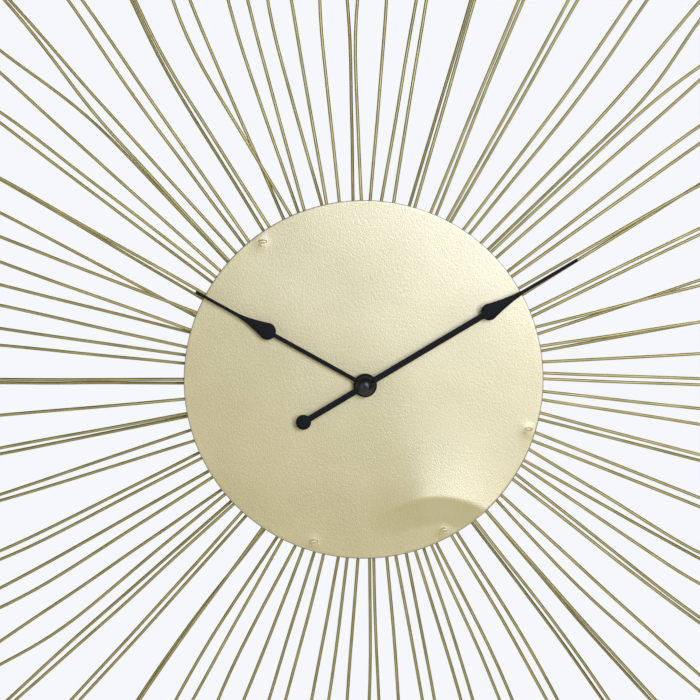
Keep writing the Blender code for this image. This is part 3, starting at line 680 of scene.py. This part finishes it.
# The motor's wheels: place across and up the subframe as shares, tip radius in mm, and teeth.
MOTOR_WHEELS = ((0.30, 0.26, 5.4, 30), (0.66, 0.55, 4.4, 24), (0.34, 0.82, 3.6, 20))
PIVOT = ((0, 2.1), (0.5, 2.1), (0.8, 1.8), (0.8, 0.5), (0, 0.5))  # mm: radius, height over the subframe
low, high = ANCHOR["motor_unit"]
top = low.y + 3.0 * MM
subframe, wheels = bmesh.new(), bmesh.new()
add_block(subframe, (low.x, low.y, low.z), (high.x, top, high.z), 0.8 * MM, 3)
for x, z, tip, teeth in MOTOR_WHEELS:
    at = Vector((low.x + (high.x - low.x) * x, 0, low.z + (high.z - low.z) * z))
    add_washer(subframe, (tip + 0.9) * MM, (tip + 0.3) * MM, top + 1.2 * MM, top - 0.2 * MM, 0.15 * MM, at,
               40)
    add_plate(wheels, [gear_outline(teeth, tip * MM, (tip - 0.7) * MM)], top + 0.9 * MM, top + 0.2 * MM,
              0.04 * MM, at.xz)
    add_turned(wheels, [(r * MM, top + h * MM) for r, h in PIVOT], at, sides=16)
finish_piece("motor_subframe", subframe, ABS, "frame", "black_plastic", "motor_unit", sharp=50)
finish_piece("motor_wheels", wheels, ACETAL, "frame", "white_nylon")

# ------------------------------------------------------------
# Motion work: acetal wheels moulded with their pipes, a steel arbor that carries the minute hand
# and a knurled ABS knob that turns the train by hand. The wheels' own solids carry their teeth.

for wheel, finish in (("centre_wheel", ACETAL), ("motion_wheel", ACETAL), ("motion_pinion", ACETAL),
                      ("hour_wheel", ACETAL), ("setting_pinion", ACETAL), ("cannon_pinion", STEEL),
                      ("third_pinion", BRASS)):
    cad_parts[wheel].material_slots[0].material = finish

THREAD_TURNS, TURN_PITCH = 6, 0.6 * MM  # fine thread for the nut at the arbor's front end
THREAD_START = 4.1 * MM
low, high, radius = spindle("minute_arbor")
profile = [(0, high.y), (radius * 0.5, high.y), (radius * 0.75, high.y - 0.5 * MM),
           (radius * 0.75, high.y - 2 * MM), (radius, high.y - 2.2 * MM), (radius, low.y + 4.4 * MM)]
for turn in range(THREAD_TURNS):
    at = low.y + THREAD_START - turn * TURN_PITCH
    profile += [(radius * 0.84, at), (radius * 0.96, at - TURN_PITCH / 2)]
profile += [(radius * 0.8, low.y + 0.3 * MM), (radius * 0.6, low.y), (0, low.y)]
turn_piece("minute_arbor_turned", profile, AXIS, STEEL, "minute_works", "steel", "minute_arbor", sides=28,
           sharp=30)

PIPE_BORE = 1.85 * MM
low, high, radius = spindle("hour_pipe")
profile = [(PIPE_BORE, high.y), (radius, high.y), (radius, low.y + 3 * MM), (radius * 0.97, low.y + 0.4 * MM),
           (radius * 0.9, low.y), (PIPE_BORE, low.y)]
turn_piece("hour_pipe_moulded", profile, AXIS, ACETAL, "hour_works", "white_nylon", "hour_pipe", sides=36,
           hollow=True)

low, high, radius = spindle("motion_post")
profile = [(0, high.y), (radius * 0.6, high.y), (radius, high.y - 0.4 * MM), (radius, low.y), (0, low.y)]
turn_piece("motion_post_drawn", profile, ((low.x + high.x) / 2, 0, ARBOR_Z), STEEL, "frame", "steel",
           "motion_post", sides=20)

GROOVE_Y = -12 * MM  # a groove for the clip that keeps the stem in the case
low, high, radius = spindle("setting_stem")
KNOB_X = (low.x + high.x) / 2
KNOB_AXIS = (KNOB_X, 0, ARBOR_Z)
profile = [(0, high.y), (radius * 0.7, high.y), (radius, high.y - 0.3 * MM), (radius, GROOVE_Y),
           (radius * 0.8, GROOVE_Y - 0.3 * MM), (radius * 0.8, GROOVE_Y - 0.9 * MM),
           (radius, GROOVE_Y - 1.2 * MM), (radius, low.y + 0.3 * MM), (radius * 0.7, low.y), (0, low.y)]
turn_piece("setting_stem_turned", profile, KNOB_AXIS, STEEL, "setting_works", "steel", "setting_stem",
           sides=24)

KNURLS, KNURL_DEPTH, STEM_HOLE = 36, 0.35 * MM, 1.4 * MM
low, high, radius = spindle("setting_knob")
body = bmesh.new()
add_plate(body, [gear_outline(KNURLS, radius, radius - KNURL_DEPTH), circle(STEM_HOLE, 24)],
          high.y - 0.3 * MM, low.y, 0.12 * MM, (KNOB_X, ARBOR_Z))
add_washer(body, radius - 1.0 * MM, radius - 2.6 * MM, high.y, high.y - 0.9 * MM, 0.2 * MM, KNOB_AXIS, 40)
finish_piece("setting_knob_knurled", body, ABS, "setting_works", "black_plastic", "setting_knob", sharp=50)

# ------------------------------------------------------------
# Back cover and battery: a snap-on ABS lid with a raised ring round the knob and stiffening ribs,
# and an AA cell in a plain shrink sleeve that sits between two sprung nickel-plated contacts.

COVER_HOLE = 2.2 * MM
KNOB_RING = (8.4 * MM, 7.5 * MM)
SUNK, RAISED = 0.3 * MM, 0.4 * MM  # how far a moulded rib starts in the lid and stands out of it
FRAME_WIDTH = 0.9 * MM
RIB_HALF, RIB_START, RIB_STEP = 0.35 * MM, 3.2 * MM, 1.9 * MM
low, high = ANCHOR["back_cover"]
body = bmesh.new()
lid = box_outline(low.x, low.z, high.x, high.z, CORNER)
add_plate(body, [lid, circle(COVER_HOLE, 32, KNOB_X, ARBOR_Z)], high.y, low.y, 0.3 * MM)
add_washer(body, *KNOB_RING, high.y + 0.45 * MM, high.y - SUNK, 0.15 * MM, KNOB_AXIS, 64)
left, bottom, right, top = KNOB_X + 12 * MM, ARBOR_Z - 9 * MM, high.x - 5 * MM, ARBOR_Z + 15 * MM
panel_edge = box_outline(left, bottom, right, top, 2 * MM)
panel_inside = box_outline(left + FRAME_WIDTH, bottom + FRAME_WIDTH, right - FRAME_WIDTH, top - FRAME_WIDTH,
                           1.4 * MM)
add_plate(body, [panel_edge, panel_inside], high.y + RAISED, high.y - SUNK, 0.12 * MM)
for rib in range(5):
    z = low.z + RIB_START + rib * RIB_STEP
    if z < bottom - 1 * MM:
        add_block(body, (left, high.y - SUNK, z - RIB_HALF), (right, high.y + RAISED, z + RIB_HALF),
                  0.15 * MM)
finish_piece("back_cover_moulded", body, ABS, "frame", "black_plastic", "back_cover", sharp=50)

# Plain PVC shrink sleeve with no print: glossy charcoal with a faint ripple from shrinking.
SLEEVE = surface("pvc_shrink_sleeve", "#2a2d31", "#3a3e44", patch=12, rough=(0.22, 0.34), grit=1.6,
                 relief=0.12, depth=0.05, Coat_Weight=0.5, Coat_Roughness=0.12)
# Nickel plate over pressed steel: bright, slightly warm metal.
NICKEL = surface("nickel_plate", "#aaa79f", "#cdcac2", patch=3, rough=(0.14, 0.28), grit=0.4, relief=0.1,
                 depth=0.015, Metallic=1.0)
CRIMP = 0.8 * MM  # how far the sleeve folds over each end
low, high, cell_radius, cell_at = barrel("battery")
profile = [(cell_radius - 1.4 * MM, low.x + 0.25 * MM), (cell_radius - 0.5 * MM, low.x + 0.2 * MM),
           (cell_radius, low.x + CRIMP), (cell_radius, high.x - CRIMP - 1.2 * MM),
           (cell_radius - 0.5 * MM, high.x - 1.4 * MM), (cell_radius - 1.4 * MM, high.x - 1.45 * MM),
           (cell_radius - 1.4 * MM, high.x - 1.7 * MM), (cell_radius - 0.9 * MM, high.x - 1.8 * MM),
           (cell_radius - 0.9 * MM, low.x + 0.6 * MM), (cell_radius - 1.4 * MM, low.x + 0.5 * MM)]
turn_piece("battery_sleeve", profile, cell_at, SLEEVE, "battery_cell", "battery_sleeve", "battery", axis="X",
           sides=56, hollow=True, sharp=50)
profile = [(0, low.x), (cell_radius - 2.4 * MM, low.x), (cell_radius - 2.0 * MM, low.x + 0.35 * MM),
           (cell_radius - 1.0 * MM, low.x + 0.4 * MM), (cell_radius - 1.0 * MM, high.x - 1.6 * MM),
           (2.9 * MM, high.x - 1.6 * MM), (2.8 * MM, high.x - 0.3 * MM), (2.5 * MM, high.x), (0, high.x)]
turn_piece("battery_can", profile, cell_at, NICKEL, "battery_cell", "steel", axis="X", sides=56, sharp=40)

# The cup pressed into each contact, mm: radius, and how far it stands towards the cell.
CUP = ((0, 0.25), (1.2, 0.24), (2.2, 0), (2.2, -0.1), (0, -0.1))
for contact, side in (("contact_left", -1), ("contact_right", 1)):
    low, high = ANCHOR[contact]
    middle = (low + high) / 2
    body = bmesh.new()
    add_block(body, low, high, 0.15 * MM)
    add_turned(body, [(r * MM, -side * h * MM) for r, h in CUP], middle - Vector((side * 0.2 * MM, 0, 0)),
               axis="X", sides=28)
    add_block(body, (middle.x - 0.2 * MM, high.y - 0.5 * MM, middle.z - 1.5 * MM),
              (middle.x + 0.2 * MM, high.y + 1.0 * MM, middle.z + 1.5 * MM), 0.12 * MM)
    finish_piece(f"{contact}_pressed", body, NICKEL, "frame", "steel", contact, sharp=50)

# ------------------------------------------------------------
# Dial: 1 mm mild steel disc, blanked and tacked by its posts, then powder coated champagne. Four tacks
# burnt through as small beads on a swelling, and a knock has bent the lower right about a curved crease.

dial_low, dial_high, DIAL_RADIUS = spindle("dial_disc")
DIAL_HOLE = 4.4 * MM
DIAL_SEGMENTS = 320
RING_STEP = 1.3 * MM
HOLE_BLEND = 30 * MM  # over this width the rings move from the hole's centre to the disc's
RIM_ROLL = 0.35 * MM
CREASE_X, CREASE_Z, CREASE_ARCH = 51 * MM, -81.4 * MM, 8.6  # crease: its crown, and its bend per metre
CREASE_LIFT = 3.2 * MM
CREASE_START, CREASE_FULL = 2 * MM, 45 * MM  # between these, across, the lift grows from none to full
CREASE_FADE = 0.5  # how much of its lift the crease has lost at the rim
LIFT_ABOVE, LIFT_BELOW = 75 * MM, 20 * MM  # how far from the crease the sheet is flat again
EASE_ABOVE, EASE_BELOW = 2.0, 1.3  # 1 is a straight slope, and more is a hollow one
TACK_RADIUS = 119 * MM
TACK_ANGLES = (323.6, 107.0, 152.4, 197.7)
TACK_LIFT, TACK_WIDTH = 0.5 * MM, 4.0 * MM
TACK_BEADS = (((0.8, 0.9), (3.2, 0.85, 1.4)), ((-1.3, -1.6), (1.1, 0.7, 1.2)))  # mm: place, then size
OIL_CAN, OIL_CAN_SPAN = 0.3 * MM, 55 * MM  # thin sheet is never quite flat


def ease(value, start, end):
    """Smooth rise from 0 to 1 between two places."""
    share = min(max((value - start) / (end - start), 0.0), 1.0)
    return share * share * (3 - 2 * share)


def sheet_lift(x, z):
    """How far the sheet stands proud of flat at a place measured from its centre."""
    above = z - (CREASE_Z - CREASE_ARCH * (x - CREASE_X) ** 2)
    near = max(1 - max(above / LIFT_ABOVE, -above / LIFT_BELOW), 0.0)
    near **= EASE_ABOVE if above > 0 else EASE_BELOW
    lift = CREASE_LIFT * ease(x, CREASE_START, CREASE_FULL) * near
    lift *= 1 - CREASE_FADE * ease(x, CREASE_FULL, DIAL_RADIUS)
    for angle in TACK_ANGLES:
        tack = around(TACK_RADIUS, angle) - CENTRE
        gap = math.hypot(x - tack.x, z - tack.z)
        lift += TACK_LIFT * math.exp(-((gap / TACK_WIDTH) ** 2))
    return lift + OIL_CAN * noise.noise(Vector((x, z, 3.0 * OIL_CAN_SPAN)) / OIL_CAN_SPAN)


def dial_ring(body, radius, y):
    """Corners round the sheet at a radius, with the middle ones gathered round the off-centre hole."""
    off = 1 - ease(radius, DIAL_HOLE, DIAL_HOLE + HOLE_BLEND)
    ring = []
    for segment in range(DIAL_SEGMENTS):
        angle = 2 * math.pi * segment / DIAL_SEGMENTS
        x = radius * math.sin(angle) + off * (ARBOR_X - CENTRE.x)
        z = radius * math.cos(angle) + off * (ARBOR_Z - CENTRE.z)
        ring.append(body.verts.new((CENTRE.x + x, y - sheet_lift(x, z), CENTRE.z + z)))
    return ring


body = bmesh.new()
steps = round((DIAL_RADIUS - RIM_ROLL - DIAL_HOLE) / RING_STEP)
radii = [DIAL_HOLE + (DIAL_RADIUS - RIM_ROLL - DIAL_HOLE) * step / steps for step in range(steps + 1)]
rings = [dial_ring(body, radius, dial_low.y) for radius in radii]
rings += [dial_ring(body, DIAL_RADIUS - RIM_ROLL * 0.3, dial_low.y + RIM_ROLL * 0.3),
          dial_ring(body, DIAL_RADIUS, dial_low.y + RIM_ROLL),
          dial_ring(body, DIAL_RADIUS, dial_high.y - 0.1 * MM),
          dial_ring(body, DIAL_RADIUS - 0.1 * MM, dial_high.y)]
rings += [dial_ring(body, radius, dial_high.y) for radius in radii[::-6]]
rings += [dial_ring(body, DIAL_HOLE, dial_high.y)]
for a, b in zip(rings, rings[1:] + rings[:1]):
    for i in range(DIAL_SEGMENTS):
        j = (i + 1) % DIAL_SEGMENTS
        body.faces.new((a[i], a[j], b[j], b[i]))
for angle in TACK_ANGLES:
    for (across, up), size in TACK_BEADS:
        at = around(TACK_RADIUS, angle) + Vector((across, 0, up)) * MM
        at.y = dial_low.y - sheet_lift(at.x - CENTRE.x, at.z - CENTRE.z)
        add_weld(body, at, [s * MM for s in size], angle + across)


RIM_SHADE_WIDTH = 0.8 * MM  # painted shade: over this width at the disc's rim the colour darkens to olive
PATCH, PEEL, FLAKE = 40, 0.8, 0.9  # mm across; the mica is drawn ten times coarser than real, to show


def champagne_powder():
    """Champagne powder coat, baked on: pale gold satin with a fine orange peel and specks of mica.

    The mica lies under clear resin and throws back more light than resin alone, so its IOR is high.
    """
    material, tree, shader = new_material("champagne_powder_coat", IOR=3.0, Metallic=0.16)
    coords = add_node(tree, "ShaderNodeTexCoord").outputs["Object"]
    cloud = add_node(tree, "ShaderNodeTexNoise", {"Vector": coords}, Scale=per_millimetre(PATCH), Detail=2.0)
    peel = add_node(tree, "ShaderNodeTexNoise", {"Vector": coords}, Scale=per_millimetre(PEEL), Detail=2.0)
    mica = add_node(tree, "ShaderNodeTexVoronoi", {"Vector": coords}, Scale=per_millimetre(FLAKE))
    base = two_tone(tree, cloud.outputs[0], "#c1af5b", "#c9b767", 0.35, 0.65)
    speck = add_node(tree, "ShaderNodeMapRange", {"Value": mica.outputs["Distance"]},
                     From_Min=0.0, From_Max=0.28, To_Min=0.5, To_Max=0.0)
    tint = add_node(tree, "ShaderNodeMix", {0: speck.outputs[0], 6: base}, data_type="RGBA",
                    blend_type="SCREEN")
    tint.inputs[7].default_value = hex_color("#5c5b4c")
    middle = add_node(tree, "ShaderNodeVectorMath", {0: coords}, operation="DISTANCE")
    middle.inputs[1].default_value = (CENTRE.x, dial_low.y, CENTRE.z)
    # Painted shade: towards the rim the colour turns dark olive, which draws a dark line round the disc's
    # edge.
    rim_shade = add_node(tree, "ShaderNodeMapRange", {"Value": middle.outputs["Value"]},
                        From_Min=DIAL_RADIUS - RIM_SHADE_WIDTH, From_Max=DIAL_RADIUS - RIM_SHADE_WIDTH / 3)
    rim_shaded = add_node(tree, "ShaderNodeMix", {0: rim_shade.outputs[0], 6: tint.outputs[2]}, data_type="RGBA")
    rim_shaded.inputs[7].default_value = hex_color("#5e5836")
    skin(tree, shader, rim_shaded.outputs[2], peel.outputs[0], (0.34, 0.44), 0.8, 0.18)
    return material


finish_piece("dial_disc_coated", body, champagne_powder(), "frame", "champagne_paint", "dial_disc", sharp=45)

low, high, radius = spindle("dial_washer")
body = bmesh.new()
add_washer(body, radius, BUSHING_FIT, high.y, low.y, 0.12 * MM, AXIS)
finish_piece("dial_washer_turned", body, BRASS, "frame", "brass", "dial_washer")
NUT_FLATS, NUT_BORE = 6, 4.1 * MM
low, high = ANCHOR["bushing_nut"]
hexagon = rounded(circle((high.z - low.z) / 2, NUT_FLATS), 0.6 * MM, 3)
body = bmesh.new()
add_plate(body, [hexagon, circle(NUT_BORE, 36)], high.y, low.y, 0.3 * MM, (ARBOR_X, ARBOR_Z))
finish_piece("bushing_nut_cut", body, BRASS, "frame", "brass", "bushing_nut")

# ------------------------------------------------------------
# Hands: spade hands blanked from 0.8 mm aluminium and stoved matt black. The hour hand pushes on
# its pipe, and a satin domed nut with a small centre dimple holds the minute hand on the arbor.

HAND_EDGE = 0.12 * MM
HOUR_BORE, MINUTE_BORE = 2.75 * MM, 1.65 * MM
COLLET_RADIUS = 3.6 * MM
HOUR_ANGLE, MINUTE_ANGLE = 299.1, 59.3
HOUR_HUB, HOUR_ARM = 8.2 * MM, 1.45 * MM
MINUTE_HUB, MINUTE_ARM = 7.4 * MM, 2.1 * MM
WEIGHT_Z, WEIGHT_RADIUS = -49.6 * MM, 5.25 * MM
# Along each spade: bulb's place and radius, then the neck's and the tip's place and half-width.
HOUR_SPADE = (77 * MM, 5.9 * MM, 101.7 * MM, 1.15 * MM, 133 * MM, 1.0 * MM)
MINUTE_SPADE = (99.4 * MM, 5.8 * MM, 127.5 * MM, 1.25 * MM, 169.6 * MM, 1.05 * MM)
SHOULDER_TURN, SPADE_STEPS, SPADE_HOLLOW = 25, 14, 1.6  # the curve from a spade's bulb to its neck

# Stoved black enamel: matt and even, with a barely seen grain.
STOVED_BLACK = surface("stoved_black_enamel", "#050506", "#0a0a0c", patch=7, rough=(0.55, 0.72), grit=0.6,
                       relief=0.2, depth=0.03, Specular_IOR_Level=0.18)
# Black lacquer over turned metal: a satin shine with one soft blue-grey highlight.
SATIN_BLACK = surface("satin_black_lacquer", "#08080c", "#0e0e14", patch=5, rough=(0.34, 0.42), grit=0.9,
                      relief=0.08, depth=0.02, IOR=1.55)


def arc(centre_z, radius, start, end, steps):
    """Half-outline points on a circle, as half-width and height, from one angle to the other."""
    turns = [math.radians(start + (end - start) * i / steps) for i in range(steps + 1)]
    return [(radius * math.cos(turn), centre_z + radius * math.sin(turn)) for turn in turns]


def meet(half_width, radius):
    """Angle at which a round boss of that radius meets an arm of that half-width."""
    return math.degrees(math.acos(half_width / radius))


def spade(arm, bulb_at, bulb, neck_at, neck, tip_at, tip):
    """Half-outline of an arm that swells into a spade and thins to a long squared tip."""
    points = arc(bulb_at, bulb, -meet(arm, bulb), SHOULDER_TURN, 16)
    shoulder_width, shoulder_at = points[-1]
    for step in range(1, SPADE_STEPS + 1):
        share = step / SPADE_STEPS
        thin = (1 - share) ** SPADE_HOLLOW
        points.append((neck + (shoulder_width - neck) * thin, shoulder_at + (neck_at - shoulder_at) * share))
    return points + [(tip, tip_at)]


def mirrored(right):
    """Whole outline from its right half."""
    return right + [(-w, h) for w, h in reversed(right[1:])]


low, high = ANCHOR["hour_hand"]
right = arc(0, HOUR_HUB, -90, meet(HOUR_ARM, HOUR_HUB), 28) + spade(HOUR_ARM, *HOUR_SPADE)
body = bmesh.new()
add_plate(body, [mirrored(right), circle(HOUR_BORE, 36)], high.y, low.y, HAND_EDGE, (ARBOR_X, ARBOR_Z),
          HOUR_ANGLE)
add_washer(body, COLLET_RADIUS, HOUR_BORE, high.y + 1.2 * MM, high.y - 0.2 * MM, 0.15 * MM, AXIS)
finish_piece("hour_hand_blanked", body, STOVED_BLACK, "hour_works", "black_paint", "hour_hand")

low, high = ANCHOR["minute_hand"]
right = arc(WEIGHT_Z, WEIGHT_RADIUS, -90, meet(MINUTE_ARM, WEIGHT_RADIUS), 20)
right += arc(0, MINUTE_HUB, -meet(MINUTE_ARM, MINUTE_HUB), meet(MINUTE_ARM, MINUTE_HUB), 20)
right += spade(MINUTE_ARM, *MINUTE_SPADE)
body = bmesh.new()
add_plate(body, [mirrored(right), circle(MINUTE_BORE, 32)], high.y, low.y, HAND_EDGE, (ARBOR_X, ARBOR_Z),
          MINUTE_ANGLE)
finish_piece("minute_hand_blanked", body, STOVED_BLACK, "minute_works", "black_paint", "minute_hand")

CAP_SPREAD, CAP_LIP = 0.5 * MM, 0.2 * MM
DOME_STEPS, DOME_BULGE = 16, 2.5
DIMPLE = ((0.85, 0.1), (0.5, 0.5), (0, 0.6))  # mm: radius, depth below the crown
low, high, radius = spindle("hand_cap")
radius += CAP_SPREAD
profile = [(0, high.y), (radius, high.y)]
for step in range(DOME_STEPS - 1):
    left = 1 - step / DOME_STEPS
    profile.append((radius * left, high.y - CAP_LIP - (high.y - low.y - CAP_LIP) * (1 - left**DOME_BULGE)))
profile += [(r * MM, low.y + d * MM) for r, d in DIMPLE]
turn_piece("hand_cap_domed", profile, AXIS, SATIN_BLACK, "minute_works", "black_paint", "hand_cap", sides=64,
           sharp=50)

# ------------------------------------------------------------
# Stage: a pale studio with a pale floor, a small key light on the right, a broad sheen light from the
# upper right, soft ones left and behind, and a camera a little above the dial's centre. The room
# gives most of its light from the front, so round wire keeps its dark edges.

scene = bpy.context.scene
scene.view_settings.view_transform = "Standard"
world = bpy.data.worlds.new("pale_studio")
scene.world = world
world.use_nodes = True
tree = world.node_tree
tree.nodes.clear()
seen = add_node(tree, "ShaderNodeBackground", Color=hex_color("#f6f7fb"), Strength=1.0)
aimed = add_node(tree, "ShaderNodeTexCoord").outputs["Generated"]
split = add_node(tree, "ShaderNodeSeparateXYZ", {0: aimed})
depth = add_node(tree, "ShaderNodeMapRange", {"Value": split.outputs["Y"]}, From_Min=-1.0, From_Max=-0.3,
                 To_Min=0.40, To_Max=0.08).outputs[0]
height = add_node(tree, "ShaderNodeMapRange", {"Value": split.outputs["Z"]}, From_Min=-0.4, From_Max=0.15,
                  To_Min=0.2, To_Max=1.0).outputs[0]
fall = add_node(tree, "ShaderNodeMath", {0: depth, 1: height}, operation="MULTIPLY")
lit = add_node(tree, "ShaderNodeBackground", {"Strength": fall.outputs[0]}, Color=hex_color("#e2e3e6"))
direct = add_node(tree, "ShaderNodeLightPath").outputs["Is Camera Ray"]
mix = add_node(tree, "ShaderNodeMixShader", {0: direct, 1: lit.outputs[0], 2: seen.outputs[0]})
add_node(tree, "ShaderNodeOutputWorld", {0: mix.outputs[0]})


def soft_light(name, at, width, height, power, code):
    """A softbox that faces the dial. Its place is from the dial's centre, and its power is in watts."""
    data = bpy.data.lights.new(name, "AREA")
    data.shape = "RECTANGLE"
    data.size = width
    data.size_y = height
    data.energy = power
    data.color = hex_color(code)[:3]
    light = bpy.data.objects.new(name, data)
    light.location = CENTRE + Vector(at)
    light.rotation_euler = (-Vector(at)).to_track_quat("-Z", "Y").to_euler()
    scene.collection.objects.link(light)


soft_light("key_right", (0.70, -1.85, 0.00), 0.3, 0.4, 4.5, "#fffaf2")
soft_light("sheen_upper_right", (0.42, -1.65, 0.43), 0.6, 0.6, 17, "#dbe5ff")
soft_light("fill_left", (-1.5, -1.6, -0.1), 1.6, 1.6, 10, "#f2f6ff")
soft_light("back_high", (0.5, 1.9, 1.5), 1.2, 1.2, 24, "#fbfbff")

FLOOR_RADIUS = 2.2
FLOOR_DROP = 0.6
body = bmesh.new()
bmesh.ops.create_circle(body, cap_ends=True, segments=96, radius=FLOOR_RADIUS)
floor_mesh = bpy.data.meshes.new("studio_floor")
body.to_mesh(floor_mesh)
body.free()
floor = bpy.data.objects.new("studio_floor", floor_mesh)
floor.location = (0.0, 0.0, cad_box[0].z - FLOOR_DROP)
scene.collection.objects.link(floor)
# Painted board: a plain pale matt floor, which glows a little, as it would under a larger set's lights.
floor_mesh.materials.append(surface("painted_board", "#f1f2f5", "#f7f8fa", patch=300, rough=(0.8, 0.95),
                                    grit=4, relief=0.1, depth=0.1, Emission_Color=hex_color("#f4f5f9"),
                                    Emission_Strength=0.22))

CAMERA_ELEVATION = math.radians(5.1)
CAMERA_AZIMUTH = math.radians(-1.4)
CAMERA_DISTANCE = 1.148
camera_data = bpy.data.cameras.new("camera")
camera_data.lens = 85
camera_data.sensor_width = 36
camera_data.shift_x = -0.0201
camera_data.shift_y = 0.0446
camera = bpy.data.objects.new("camera", camera_data)
back = Vector((math.sin(CAMERA_AZIMUTH) * math.cos(CAMERA_ELEVATION),
               -math.cos(CAMERA_AZIMUTH) * math.cos(CAMERA_ELEVATION), math.sin(CAMERA_ELEVATION)))
aim = Vector((CENTRE.x, dial_low.y, CENTRE.z))
camera.location = aim + back * CAMERA_DISTANCE
camera.rotation_euler = (-back).to_track_quat("-Z", "Y").to_euler()
scene.collection.objects.link(camera)
scene.camera = camera
